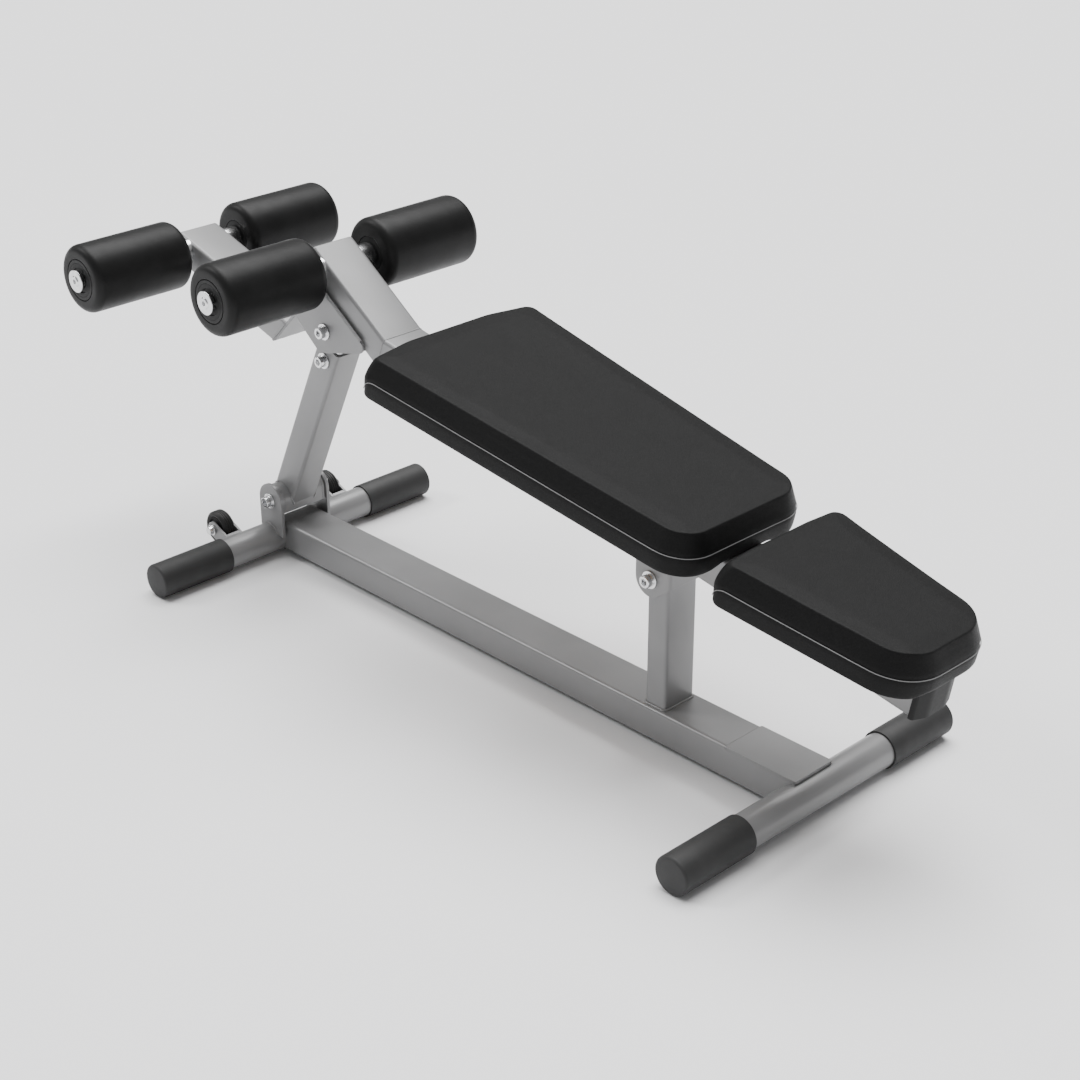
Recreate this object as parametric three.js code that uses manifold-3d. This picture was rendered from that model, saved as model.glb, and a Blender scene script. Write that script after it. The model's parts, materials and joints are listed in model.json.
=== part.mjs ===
// Adjustable decline bench: a floor frame, a tilting bench beam with two pads and two pairs of
// leg rollers, and a telescopic rear strut that sets the tilt.
// Millimetres, +Z up, +X towards the head end. Right is the -Y side and left is the +Y side.
// The model is drawn about the floor point midway between the two foot tubes, and the whole
// group is then moved so that its origin is the middle of the underside of its bounding box.

import * as THREE from 'three';
import { mergeVertices } from 'three/addons/utils/BufferGeometryUtils.js';
import Module from 'manifold-3d';

const wasm = await Module();
wasm.setup();

// ---------------------------------------------------------------- driving dimensions

const GAP = 0.3;                 // air left between pieces that are welded or rest together
const BORE_CLEARANCE = 0.3;      // radial room of a bolt or axle in its hole

const FOOT_SPACING = 1104;       // between the two foot tubes
const FOOT_RADIUS = 25.4;
const FOOT_WALL = 2.5;
const SLEEVE_RADIUS = 28;
const SLEEVE_INNER_END = 144;    // distance of the sleeve's open end from the middle plane
const SLEEVE_OUTER_END = 277;
const SLEEVE_END_THICKNESS = 3;

const BEAM_WIDTH = 76;           // section of the base rail, bench beam, upper beam and arm
const BEAM_DEPTH = 50.8;
const BEAM_WALL = 3;
const BEAM_CORNER = 6;
const RAIL_TOP = 59.5;

const POST_X = 293.4;
const POST_DEPTH = 38;           // along X
const POST_WIDTH = 60;           // along Y
const POST_TOP = 281;

const STRUT_SIZE = 50;
const STRUT_WALL = 2.5;
const STRUT_LEAN = THREE.MathUtils.degToRad(25.2);     // from the vertical, top towards the head end
const STRUT_START = 12;          // along the strut, from the rear pivot
const STRUT_TOP = 330;
const LOCK_BOLT_AT = 303.5;
const UPPER_PIVOT_AT = 369.7;
const STRUT_TRAVEL = 97;         // how far the inner tube slides out

const REAR_PIVOT = { x: -545.9, z: 96.3 };
const FRONT_PIVOT = { x: 285, z: 257.4 };

const DECK_TILT = THREE.MathUtils.degToRad(9.84);      // pads and bench beam, head end down
const PAD_TOP_HEIGHT = 464.1;    // height of the pads' top plane over the origin
const PAD_THICKNESS = 56.2;
const DECK_END = 748;            // head end of the bench beam, along the deck
const UPPER_BEAM_TILT = THREE.MathUtils.degToRad(34.5);
const ARM_TILT = THREE.MathUtils.degToRad(16.6);

const KNEE_AXLE = { x: -400.3, z: 526.2 };
const FOOT_AXLE = { x: -744.3, z: 471.6 };
const AXLE_BELOW_TOP = 20;       // axle centre under the top face of its beam
const ROLLER_RADIUS = 54.6;
const ROLLER_INNER_END = 60.5;
const ROLLER_OUTER_END = 240;
const AXLE_TIP = 250;

const BOLT_RADIUS = 6;
const PLATE = 5;                 // brackets and gussets

const deckTopOfBeam = -PAD_THICKNESS;
const deckUnderBeam = deckTopOfBeam - BEAM_DEPTH;
const footAxisHeight = SLEEVE_RADIUS;
const frontFootX = FOOT_SPACING / 2;
const rearFootX = -FOOT_SPACING / 2;

// ---------------------------------------------------------------- materials

function paint(color, roughness, metalness) {
  return () => new THREE.MeshStandardMaterial({ color, roughness, metalness });
}

const greyPaint = paint(0x9b9b9b, 0.45, 0.35);
const zinc = paint(0xc9c9cc, 0.28, 1);
const blackRubber = paint(0x2b2b2c, 0.8, 0);
const blackVinyl = paint(0x222223, 0.42, 0);
const blackFoam = paint(0x1f1f20, 0.45, 0);
const blackPlastic = paint(0x2f2f30, 0.5, 0);
const plywood = paint(0xb08a5c, 0.8, 0);

// ---------------------------------------------------------------- solids and frames

// Turns a closed geometry into a solid that can be cut and joined.
function toSolid(geometry) {
  const bare = geometry.clone();
  bare.deleteAttribute('normal');
  bare.deleteAttribute('uv');
  const merged = mergeVertices(bare, 1e-4);
  return new wasm.Manifold(new wasm.Mesh({
    numProp: 3,
    vertProperties: new Float32Array(merged.attributes.position.array),
    triVerts: new Uint32Array(merged.index.array),
  }));
}

function toGeometry(solid) {
  const mesh = solid.getMesh();
  const geometry = new THREE.BufferGeometry();
  geometry.setAttribute('position', new THREE.BufferAttribute(mesh.vertProperties, 3));
  geometry.setIndex(new THREE.BufferAttribute(mesh.triVerts, 1));
  geometry.computeVertexNormals();
  return geometry;
}

function cut(solid, ...tools) {
  return tools.reduce((left, tool) => left.subtract(tool), solid);
}

// A frame is a group whose x axis leans down by tilt and whose origin is at (x, 0, z).
function frameAt(parent, x, z, tilt) {
  const frame = new THREE.Group();
  frame.position.set(x, 0, z);
  frame.rotation.y = tilt;
  parent.add(frame);
  frame.updateMatrixWorld(true);
  return frame;
}

// Moves a geometry drawn in one frame into the coordinates of another.
function between(geometry, from, to) {
  const move = to.matrixWorld.clone().invert().multiply(from.matrixWorld);
  return geometry.clone().applyMatrix4(move);
}

function addPiece(frame, name, shape, material) {
  const geometry = shape.isBufferGeometry ? shape : toGeometry(shape);
  const mesh = new THREE.Mesh(geometry, material());
  mesh.name = name;
  frame.add(mesh);
  return mesh;
}

// ---------------------------------------------------------------- basic shapes

function roundedRectangle(width, height, radius) {
  const x = width / 2;
  const y = height / 2;
  const shape = new THREE.Shape();
  shape.moveTo(-x + radius, -y);
  shape.lineTo(x - radius, -y);
  shape.absarc(x - radius, -y + radius, radius, -Math.PI / 2, 0);
  shape.lineTo(x, y - radius);
  shape.absarc(x - radius, y - radius, radius, 0, Math.PI / 2);
  shape.lineTo(-x + radius, y);
  shape.absarc(-x + radius, y - radius, radius, Math.PI / 2, Math.PI);
  shape.lineTo(-x, -y + radius);
  shape.absarc(-x + radius, -y + radius, radius, Math.PI, 1.5 * Math.PI);
  return shape;
}

// A closed outline through points [x, y, radius], each corner rounded by its radius.
function roundedOutline(points) {
  const shape = new THREE.Shape();
  points.forEach(([x, y, radius = 0], index) => {
    const corner = new THREE.Vector2(x, y);
    const before = points[(index + points.length - 1) % points.length];
    const after = points[(index + 1) % points.length];
    const back = new THREE.Vector2(before[0] - x, before[1] - y).normalize();
    const ahead = new THREE.Vector2(after[0] - x, after[1] - y).normalize();
    const halfAngle = back.angleTo(ahead) / 2;
    const reach = radius / Math.tan(halfAngle);
    const start = corner.clone().addScaledVector(back, reach);
    const end = corner.clone().addScaledVector(ahead, reach);
    if (index === 0) {
      shape.moveTo(start.x, start.y);
    } else {
      shape.lineTo(start.x, start.y);
    }
    if (radius > 0) {
      const middle = back.clone().add(ahead).normalize();
      const centre = corner.clone().addScaledVector(middle, radius / Math.sin(halfAngle));
      const from = Math.atan2(start.y - centre.y, start.x - centre.x);
      const to = Math.atan2(end.y - centre.y, end.x - centre.x);
      const clockwise = back.cross(ahead) > 0;
      shape.absarc(centre.x, centre.y, radius, from, to, clockwise);
    }
  });
  shape.closePath();
  return shape;
}

const ARC_STEPS = 3;

function prism(outline, depth, curveSegments) {
  return new THREE.ExtrudeGeometry(outline, { depth, bevelEnabled: false, curveSegments });
}

// Extrudes a section along X: the section's x is Y and its y is Z.
function alongX(section, from, to, curveSegments = ARC_STEPS) {
  const geometry = prism(section, to - from, curveSegments);
  const turn = new THREE.Matrix4().makeBasis(
    new THREE.Vector3(0, 1, 0), new THREE.Vector3(0, 0, 1), new THREE.Vector3(1, 0, 0));
  return geometry.applyMatrix4(turn).translate(from, 0, 0);
}

// Extrudes a side view across Y: the outline's x is X and its y is Z.
function acrossY(outline, from, to, curveSegments = ARC_STEPS) {
  return prism(outline, to - from, curveSegments).rotateX(Math.PI / 2).translate(0, to, 0);
}

// Extrudes a plan view up Z.
function upZ(plan, from, to, curveSegments = ARC_STEPS) {
  return prism(plan, to - from, curveSegments).translate(0, 0, from);
}

// Turns a profile of [radius, y] points about a line along Y through (x, z).
function turned(profile, x, z, segments = 16) {
  const points = profile.map(([radius, y]) => new THREE.Vector2(radius, y));
  return new THREE.LatheGeometry(points, segments).translate(x, 0, z);
}

function rod(x, z, radius, from, to, segments = 16) {
  return turned([[0, from], [radius, from], [radius, to], [0, to]], x, z, segments);
}

function block(xLow, xHigh, yLow, yHigh, zLow, zHigh) {
  const box = new THREE.BoxGeometry(xHigh - xLow, yHigh - yLow, zHigh - zLow);
  return box.translate((xLow + xHigh) / 2, (yLow + yHigh) / 2, (zLow + zHigh) / 2);
}

function verticalRod(x, radius, from, to) {
  return rod(0, 0, radius, from, to, 10).rotateX(Math.PI / 2).translate(x, 0, 0);
}

// A hole along Y for a pivot bolt.
function boltHole(x, z) {
  return toSolid(rod(x, z, BOLT_RADIUS + BORE_CLEARANCE, -200, 200));
}

function mirrored(geometry) {
  const copy = geometry.clone().applyMatrix4(new THREE.Matrix4().makeScale(1, -1, 1));
  const index = copy.index;
  if (index) {
    for (let i = 0; i < index.count; i += 3) {
      const first = index.getX(i);
      index.setX(i, index.getX(i + 2));
      index.setX(i + 2, first);
    }
    return copy;
  }
  const position = copy.attributes.position;
  const corner = new THREE.Vector3();
  const other = new THREE.Vector3();
  for (let i = 0; i < position.count; i += 3) {
    corner.fromBufferAttribute(position, i);
    other.fromBufferAttribute(position, i + 2);
    position.setXYZ(i, other.x, other.y, other.z);
    position.setXYZ(i + 2, corner.x, corner.y, corner.z);
  }
  return copy;
}

// The same piece on both sides: right is at -Y, left is its mirror image at +Y.
function addPair(frame, name, rightGeometry, material) {
  addPiece(frame, `${name}_right`, rightGeometry, material);
  addPiece(frame, `${name}_left`, mirrored(rightGeometry), material);
}

// A length of rectangular tube along X, open at both ends.
function beamTube(from, to, zMiddle) {
  const section = roundedRectangle(BEAM_WIDTH, BEAM_DEPTH, BEAM_CORNER);
  const width = BEAM_WIDTH - 2 * BEAM_WALL;
  const depth = BEAM_DEPTH - 2 * BEAM_WALL;
  section.holes.push(roundedRectangle(width, depth, BEAM_CORNER - BEAM_WALL));
  return toSolid(alongX(section, from, to).translate(0, 0, zMiddle));
}

const BEAM_END_ROUND = 15;

// The same tube, closed and rounded over at its low-x end.
function roundEndedBeam(from, to, zMiddle) {
  const round = BEAM_END_ROUND;
  const makeCore = (inset) => {
    const halfDepth = BEAM_DEPTH / 2 - inset;
    const side = roundedOutline([
      [from + inset, -halfDepth, round - inset],
      [to, -halfDepth],
      [to, halfDepth],
      [from + inset, halfDepth, round - inset],
    ]);
    const section = roundedRectangle(BEAM_WIDTH - 2 * inset, 2 * halfDepth, BEAM_CORNER - inset);
    const bar = alongX(section, from, to);
    return toSolid(bar).intersect(toSolid(acrossY(side, -BEAM_WIDTH, BEAM_WIDTH)));
  };
  const hollow = makeCore(BEAM_WALL);
  const y = BEAM_WIDTH / 2 - BEAM_CORNER;
  const z = BEAM_DEPTH / 2 - BEAM_CORNER;
  const openEnd = toSolid(block(to - 1, to + 1, -y, y, -z, z));
  return cut(makeCore(0), hollow, openEnd).translate([0, 0, zMiddle]);
}

// Hexagon-socket bolt along Y with its washer face at y = face, head towards -Y.
const HEAD_RADIUS = 9;
const HEAD_LENGTH = 10;
const WASHER_RADIUS = 13;
const WASHER_THICKNESS = 2.5;
const SOCKET_RADIUS = 4.6;
const SOCKET_DEPTH = 5;

function socketBolt(x, z, face, tip, radius = BOLT_RADIUS) {
  const under = face - WASHER_THICKNESS;
  const crown = under - HEAD_LENGTH;
  const body = turned([
    [0, crown], [HEAD_RADIUS - 1, crown], [HEAD_RADIUS, crown + 1], [HEAD_RADIUS, under],
    [WASHER_RADIUS, under], [WASHER_RADIUS, face], [radius, face], [radius, tip - 1],
    [radius - 1, tip], [0, tip],
  ], x, z);
  const socket = rod(x, z, SOCKET_RADIUS, crown - 1, crown + SOCKET_DEPTH, 6);
  return cut(toSolid(body), toSolid(socket));
}

// Washer-faced hexagon nut along Y whose seat is at y = face, thickness towards +Y.
const NUT_RADIUS = 10.4;
const NUT_THICKNESS = 10;

function hexNut(x, z, face, radius = BOLT_RADIUS) {
  const seat = face + WASHER_THICKNESS;
  const top = seat + NUT_THICKNESS;
  const washer = rod(x, z, WASHER_RADIUS, face, seat);
  const hexagon = rod(x, z, NUT_RADIUS, seat - 0.01, top, 6);
  const bore = rod(x, z, radius + BORE_CLEARANCE, face - 1, top + 1);
  return cut(toSolid(washer).add(toSolid(hexagon)), toSolid(bore));
}

const NUT_END = WASHER_THICKNESS + NUT_THICKNESS + 3;   // bolt tip beyond the face its nut seats on

// ---------------------------------------------------------------- frames

const bench = new THREE.Group();
const floorFrame = frameAt(bench, 0, 0, 0);
const deck = frameAt(bench, 0, PAD_TOP_HEIGHT, DECK_TILT);
const strutFrame = frameAt(bench, REAR_PIVOT.x, REAR_PIVOT.z, STRUT_LEAN);
const upperBeamFrame = frameAt(bench, KNEE_AXLE.x, KNEE_AXLE.z, UPPER_BEAM_TILT);
const armFrame = frameAt(bench, FOOT_AXLE.x, FOOT_AXLE.z, ARM_TILT);

// ---------------------------------------------------------------- floor frame

// Profile of a pipe that reaches as far on both sides of the middle plane.
function pipe(inner, outer, reach) {
  return [[inner, -reach], [outer, -reach], [outer, reach], [inner, reach], [inner, -reach]];
}

function addFootTubes() {
  const tubeEnd = SLEEVE_OUTER_END - SLEEVE_END_THICKNESS - GAP;
  const inner = FOOT_RADIUS - FOOT_WALL;
  const tube = pipe(inner, FOOT_RADIUS, tubeEnd);
  addPiece(floorFrame, 'front_foot_tube', turned(tube, frontFootX, footAxisHeight, 32), greyPaint);
  addPiece(floorFrame, 'rear_foot_tube', turned(tube, rearFootX, footAxisHeight, 32), greyPaint);
}

// Rubber sleeves closed at the outer end, pushed over the tube ends.
function addFootSleeves() {
  const edge = 6;
  const inner = FOOT_RADIUS + GAP;
  const rounding = [1, 2].map((step) => {
    const angle = (step * Math.PI) / 6;
    const y = SLEEVE_OUTER_END - edge + edge * Math.sin(angle);
    return [SLEEVE_RADIUS - edge + edge * Math.cos(angle), -y];
  });
  const profile = [
    [0, -(SLEEVE_OUTER_END - SLEEVE_END_THICKNESS)],
    [inner, -(SLEEVE_OUTER_END - SLEEVE_END_THICKNESS)],
    [inner, -SLEEVE_INNER_END],
    [SLEEVE_RADIUS, -SLEEVE_INNER_END],
    [SLEEVE_RADIUS, -(SLEEVE_OUTER_END - edge)],
    ...rounding,
    [SLEEVE_RADIUS - edge, -SLEEVE_OUTER_END],
    [0, -SLEEVE_OUTER_END],
  ].reverse();
  const sleeve = (x) => turned(profile, x, footAxisHeight, 28);
  addPair(floorFrame, 'foot_sleeve_front', sleeve(frontFootX), blackRubber);
  addPair(floorFrame, 'foot_sleeve_rear', sleeve(rearFootX), blackRubber);
}

const END_PLATE_FROM = 430;
const END_PLATE_THICKNESS = 4;

// The rail is coped round both foot tubes; a flat plate finishes its top at the head end.
function addBaseRail() {
  const cope = FOOT_RADIUS + GAP;
  const tubeCuts = [rearFootX, frontFootX].map(
    (x) => toSolid(rod(x, footAxisHeight, cope, -BEAM_WIDTH, BEAM_WIDTH, 32)));
  const seat = block(END_PLATE_FROM - GAP, frontFootX + 1, -BEAM_WIDTH, BEAM_WIDTH,
    RAIL_TOP - END_PLATE_THICKNESS - GAP, RAIL_TOP + 1);
  const tube = beamTube(rearFootX, frontFootX, RAIL_TOP - BEAM_DEPTH / 2);
  const rail = cut(tube, ...tubeCuts, toSolid(seat));
  addPiece(floorFrame, 'base_rail', largestBody(rail), greyPaint);
  addPiece(floorFrame, 'rail_end_plate',
    block(END_PLATE_FROM, frontFootX + 1.2, -BEAM_WIDTH / 2 - 1, BEAM_WIDTH / 2 + 1,
      RAIL_TOP - END_PLATE_THICKNESS, RAIL_TOP), greyPaint);
}

// Coping can leave slivers beyond a tube; the piece is the largest body that is left.
function largestBody(solid) {
  const bodies = solid.decompose();
  return bodies.reduce((best, body) => (body.volume() > best.volume() ? body : best));
}

const PIVOT_TUBE_RADIUS = 11;
const POST_CORNER = 5;

function addFrontPost() {
  const section = roundedRectangle(POST_DEPTH, POST_WIDTH, POST_CORNER);
  section.holes.push(roundedRectangle(
    POST_DEPTH - 2 * BEAM_WALL, POST_WIDTH - 2 * BEAM_WALL, POST_CORNER - BEAM_WALL));
  const post = toSolid(upZ(section, RAIL_TOP + GAP, POST_TOP).translate(POST_X, 0, 0));
  const reach = POST_WIDTH / 2 + 0.5;
  const { x, z } = FRONT_PIVOT;
  const hole = toSolid(rod(x, z, PIVOT_TUBE_RADIUS + GAP, -POST_WIDTH, POST_WIDTH));
  addPiece(floorFrame, 'front_post', cut(post, hole), greyPaint);
  const tube = pipe(BOLT_RADIUS + BORE_CLEARANCE, PIVOT_TUBE_RADIUS, reach);
  addPiece(floorFrame, 'post_pivot_tube', turned(tube, x, z), zinc);
}

const SADDLE_INNER = 31;         // half the room between the saddle's ears
const SADDLE_OUTER = SADDLE_INNER + PLATE;
const EAR_INNER = 44;
const EAR_OUTER = 50;

function addPivotBolts() {
  [['front_pivot', FRONT_PIVOT, SADDLE_OUTER], ['rear_pivot', REAR_PIVOT, EAR_OUTER]].forEach(
    ([name, { x, z }, face]) => {
      addPiece(floorFrame, `${name}_bolt`, socketBolt(x, z, -face - GAP, face + NUT_END), zinc);
      addPiece(floorFrame, `${name}_nut`, hexNut(x, z, face + GAP), zinc);
    });
}

const EAR_RADIUS = 28.5;
const EAR_FRONT_BOTTOM = 38;
const EAR_REAR_BOTTOM = 44;

// Upright ears with round tops, coped to the rear foot tube.
function addRearEars() {
  const radius = EAR_RADIUS;
  const { x, z } = REAR_PIVOT;
  const outline = new THREE.Shape();
  outline.moveTo(x + radius, EAR_FRONT_BOTTOM);
  outline.lineTo(x + radius, z);
  outline.absarc(x, z, radius, 0, Math.PI);
  outline.lineTo(x - radius, EAR_REAR_BOTTOM);
  outline.closePath();
  const cope = toSolid(
    rod(rearFootX, footAxisHeight, FOOT_RADIUS + GAP, -EAR_OUTER - 1, -EAR_INNER + 1, 32));
  const ear = cut(toSolid(acrossY(outline, -EAR_OUTER, -EAR_INNER, 8)), cope, boltHole(x, z));
  addPair(floorFrame, 'rear_ear', toGeometry(ear), greyPaint);
}

const WHEEL = { x: -604, z: 49.5, radius: 28, width: 22, middle: 110, bore: 5.3 };
const FORK_INNER = 12;           // from the wheel's middle plane
const FORK_PLATE = 4;
const FORK_CHEEK_RADIUS = 13;

// Two-cheek fork behind the rear foot tube, closed by a web against the tube.
function addWheelForks() {
  const cheekRadius = FORK_CHEEK_RADIUS;
  const middle = -WHEEL.middle;
  const slope = Math.atan2(WHEEL.z - footAxisHeight, rearFootX - WHEEL.x);
  const side = new THREE.Vector2(Math.sin(slope), Math.cos(slope));
  const run = new THREE.Vector2(Math.cos(slope), -Math.sin(slope));
  const length = 40;
  const at = (along, across) => [
    WHEEL.x + run.x * along + side.x * across,
    WHEEL.z + run.y * along + side.y * across,
  ];
  const outline = roundedOutline([
    [...at(-cheekRadius, -cheekRadius), cheekRadius - 0.1],
    [...at(length, -cheekRadius)],
    [...at(length, cheekRadius)],
    [...at(-cheekRadius, cheekRadius), cheekRadius - 0.1],
  ]);
  const cheek = (from, to) => toSolid(acrossY(outline, middle + from, middle + to, 4));
  const web = roundedOutline([
    [...at(WHEEL.radius + 1.2, -cheekRadius)],
    [...at(length, -cheekRadius)],
    [...at(length, cheekRadius)],
    [...at(WHEEL.radius + 1.2, cheekRadius)],
  ]);
  const outer = FORK_INNER + FORK_PLATE;
  const fork = cheek(-outer, -FORK_INNER)
    .add(cheek(FORK_INNER, outer))
    .add(toSolid(acrossY(web, middle - FORK_INNER - 1, middle + FORK_INNER + 1)));
  const from = middle - 2 * outer;
  const to = middle + 2 * outer;
  const cope = toSolid(rod(rearFootX, footAxisHeight, FOOT_RADIUS + GAP, from, to, 32));
  const pinHole = toSolid(rod(WHEEL.x, WHEEL.z, WHEEL.bore, from, to));
  addPair(floorFrame, 'wheel_fork', toGeometry(largestBody(cut(fork, cope, pinHole))), greyPaint);
}

// Riveted pins with a flanged head outside and a formed head inside.
function addWheelPins() {
  const { x, z } = WHEEL;
  const shank = WHEEL.bore - BORE_CLEARANCE;
  const outerFace = -WHEEL.middle - FORK_INNER - FORK_PLATE - GAP;
  const innerFace = -WHEEL.middle + FORK_INNER + FORK_PLATE + GAP;
  const profile = [
    [0, outerFace - 9], [6, outerFace - 9], [7.5, outerFace - 7], [7.5, outerFace - 3],
    [9, outerFace - 3], [9, outerFace], [shank, outerFace], [shank, innerFace], [8, innerFace],
    [8, innerFace + 5], [6.5, innerFace + 7], [0, innerFace + 7],
  ];
  addPair(floorFrame, 'wheel_pin', turned(profile, x, z), zinc);
}

function addWheels() {
  const { x, z, radius, width, middle } = WHEEL;
  const bore = WHEEL.bore;
  const half = width / 2;
  const edge = 4;
  const profile = [
    [bore, -half], [radius - edge, -half], [radius, -half + edge], [radius, half - edge],
    [radius - edge, half], [bore, half], [bore, -half],
  ].map(([r, y]) => [r, y - middle]);
  addPair(floorFrame, 'transport_wheel', turned(profile, x, z, 28), blackRubber);
}

// ---------------------------------------------------------------- bench beam

const mitre = mitreFrame();

// The plane where the bench beam and the upper beam meet, as a frame whose x axis crosses it.
function mitreFrame() {
  const middleOfDeck = new THREE.Vector3(0, 0, (deckTopOfBeam + deckUnderBeam) / 2)
    .applyMatrix4(deck.matrixWorld);
  const middleOfUpper = new THREE.Vector3(0, 0, AXLE_BELOW_TOP - BEAM_DEPTH / 2)
    .applyMatrix4(upperBeamFrame.matrixWorld);
  const deckSlope = -Math.tan(DECK_TILT);
  const upperSlope = -Math.tan(UPPER_BEAM_TILT);
  const upperAtZero = middleOfUpper.z - upperSlope * middleOfUpper.x;
  const deckAtZero = middleOfDeck.z - deckSlope * middleOfDeck.x;
  const x = (upperAtZero - deckAtZero) / (deckSlope - upperSlope);
  const z = middleOfDeck.z + deckSlope * (x - middleOfDeck.x);
  return frameAt(bench, x, z, (DECK_TILT + UPPER_BEAM_TILT) / 2);
}

const PAD_BOLT_RADIUS = 4;
const BACK_PAD_BOLTS = [-100, 205];
const HEAD_PAD_BOLTS = [540, 690];

function addSeatBeam() {
  const tooFar = block(-400, GAP / 2, -100, 100, -100, 100);
  const holes = [...BACK_PAD_BOLTS, ...HEAD_PAD_BOLTS].map(
    (x) => toSolid(verticalRod(x, PAD_BOLT_RADIUS + BORE_CLEARANCE, -200, 0)));
  const tube = cut(beamTube(-320, DECK_END, (deckTopOfBeam + deckUnderBeam) / 2),
    toSolid(between(tooFar, mitre, deck)), ...holes);
  addPiece(deck, 'seat_beam', tube, greyPaint);
}

const UPPER_BEAM_OVERHANG = 30;  // past the knee axle
const ARM_OVERHANG = 28;         // past the foot axle
const AXLE_TUBE_RADIUS = 19;

function addUpperBeam() {
  const tooFar = block(-GAP / 2, 400, -100, 100, -100, 100);
  const axleHole = toSolid(rod(0, 0, AXLE_TUBE_RADIUS + GAP, -60, 60, 20));
  const whole = roundEndedBeam(-UPPER_BEAM_OVERHANG, 260, AXLE_BELOW_TOP - BEAM_DEPTH / 2);
  const beam = cut(whole, toSolid(between(tooFar, mitre, upperBeamFrame)), axleHole);
  addPiece(upperBeamFrame, 'upper_beam', beam, greyPaint);
}

// The slanting plate that ties the arm's cut end to the underside of the upper beam.
const MOUNT_PLATE_SLOPE = THREE.MathUtils.degToRad(45.8);
const MOUNT_PLATE_FOOT = { x: -520.5, z: 378.8 };
const MOUNT_PLATE_LENGTH = 175;  // before the upper beam cuts it off
const mountPlateFrame = frameAt(bench, MOUNT_PLATE_FOOT.x, MOUNT_PLATE_FOOT.z, -MOUNT_PLATE_SLOPE);

function addArm() {
  const past = block(-300, 300, -100, 100, -300, PLATE + GAP);
  const axleHole = toSolid(rod(0, 0, AXLE_TUBE_RADIUS + GAP, -60, 60, 20));
  const whole = roundEndedBeam(-ARM_OVERHANG, 330, AXLE_BELOW_TOP - BEAM_DEPTH / 2);
  const arm = cut(whole, toSolid(between(past, mountPlateFrame, armFrame)), axleHole);
  addPiece(armFrame, 'roller_arm', arm, greyPaint);
  const aboveBeam = block(-200, 400, -100, 100, AXLE_BELOW_TOP - BEAM_DEPTH - GAP, 200);
  const halfWidth = BEAM_WIDTH / 2 - GAP;
  const plate = toSolid(block(0, MOUNT_PLATE_LENGTH, -halfWidth, halfWidth, 0, PLATE));
  addPiece(mountPlateFrame, 'arm_mount_plate',
    cut(plate, toSolid(between(aboveBeam, upperBeamFrame, mountPlateFrame))), greyPaint);
}

// Side plates and a web that hang from the upper beam and carry the top of the strut.
const GUSSET_INNER = BEAM_WIDTH / 2 + GAP;
const GUSSET_OUTER = GUSSET_INNER + PLATE;
const upperPivot = pointOnStrut(UPPER_PIVOT_AT);

function pointOnStrut(distance) {
  return {
    x: REAR_PIVOT.x + distance * Math.sin(STRUT_LEAN),
    z: REAR_PIVOT.z + distance * Math.cos(STRUT_LEAN),
  };
}

function addGussetBracket() {
  const outline = roundedOutline([
    [-404, 392.5, 9],
    [-303.5, 418.3, 12],
    [-297, 432, 8],
    [-395.5, 499.5, 6],
    [-414.5, 488],
    [-461, 440.5, 2],
    [-441.5, 423, 4],
  ]);
  const right = toSolid(acrossY(outline, -GUSSET_OUTER, -GUSSET_INNER));
  const left = toSolid(acrossY(outline, GUSSET_INNER, GUSSET_OUTER));
  const inner = GUSSET_INNER;
  const web = toSolid(block(-311, -306, -inner - 1, inner + 1, 419, 437));
  const beam = block(-200, 400, -inner, inner, AXLE_BELOW_TOP - BEAM_DEPTH - GAP, 200);
  const bracket = cut(right.add(left).add(web), toSolid(between(beam, upperBeamFrame, floorFrame)),
    boltHole(upperPivot.x, upperPivot.z));
  addPiece(floorFrame, 'gusset_bracket', bracket, greyPaint);
  const { x, z } = upperPivot;
  const bolt = socketBolt(x, z, -GUSSET_OUTER - GAP, GUSSET_OUTER + 13);
  addPiece(floorFrame, 'upper_pivot_bolt', bolt, zinc);
  addPiece(floorFrame, 'upper_pivot_nut', thinNut(x, z, GUSSET_OUTER + GAP), zinc);
}

// The nut beside the left roller is a thin one, without a washer.
function thinNut(x, z, face) {
  const thickness = 8;
  return cut(toSolid(rod(x, z, NUT_RADIUS, face, face + thickness, 6)),
    toSolid(rod(x, z, BOLT_RADIUS + BORE_CLEARANCE, face - 1, face + thickness + 1)));
}

const SADDLE_RADIUS = 27;
const SADDLE_FRONT = 320;
const SADDLE_WEB_BOTTOM = 252;

// Hinge saddle under the bench beam: two ears beside the post and a web across its front.
function addHingeSaddle() {
  const { x, z } = FRONT_PIVOT;
  const radius = SADDLE_RADIUS;
  const webFront = SADDLE_FRONT;
  const webBottom = SADDLE_WEB_BOTTOM;
  const tall = webBottom + 80;     // well into the bench beam, which cuts it off
  const beam = block(0, 600, -100, 100, deckUnderBeam - GAP, 100);
  const outline = new THREE.Shape();
  outline.moveTo(webFront, webBottom);
  outline.lineTo(webFront, tall);
  outline.lineTo(x - radius, tall);
  outline.lineTo(x - radius, z);
  outline.absarc(x, z, radius, Math.PI, 1.6 * Math.PI);
  outline.closePath();
  const ear = (from, to) => toSolid(acrossY(outline, from, to, 6));
  const halfWeb = SADDLE_INNER + 1;
  const web = toSolid(block(webFront - PLATE, webFront, -halfWeb, halfWeb, webBottom, tall));
  const saddle = ear(-SADDLE_OUTER, -SADDLE_INNER).add(ear(SADDLE_INNER, SADDLE_OUTER)).add(web);
  const trimmed = cut(saddle, toSolid(between(beam, deck, floorFrame)), boltHole(x, z));
  addPiece(floorFrame, 'hinge_saddle', trimmed, greyPaint);
}

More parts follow.
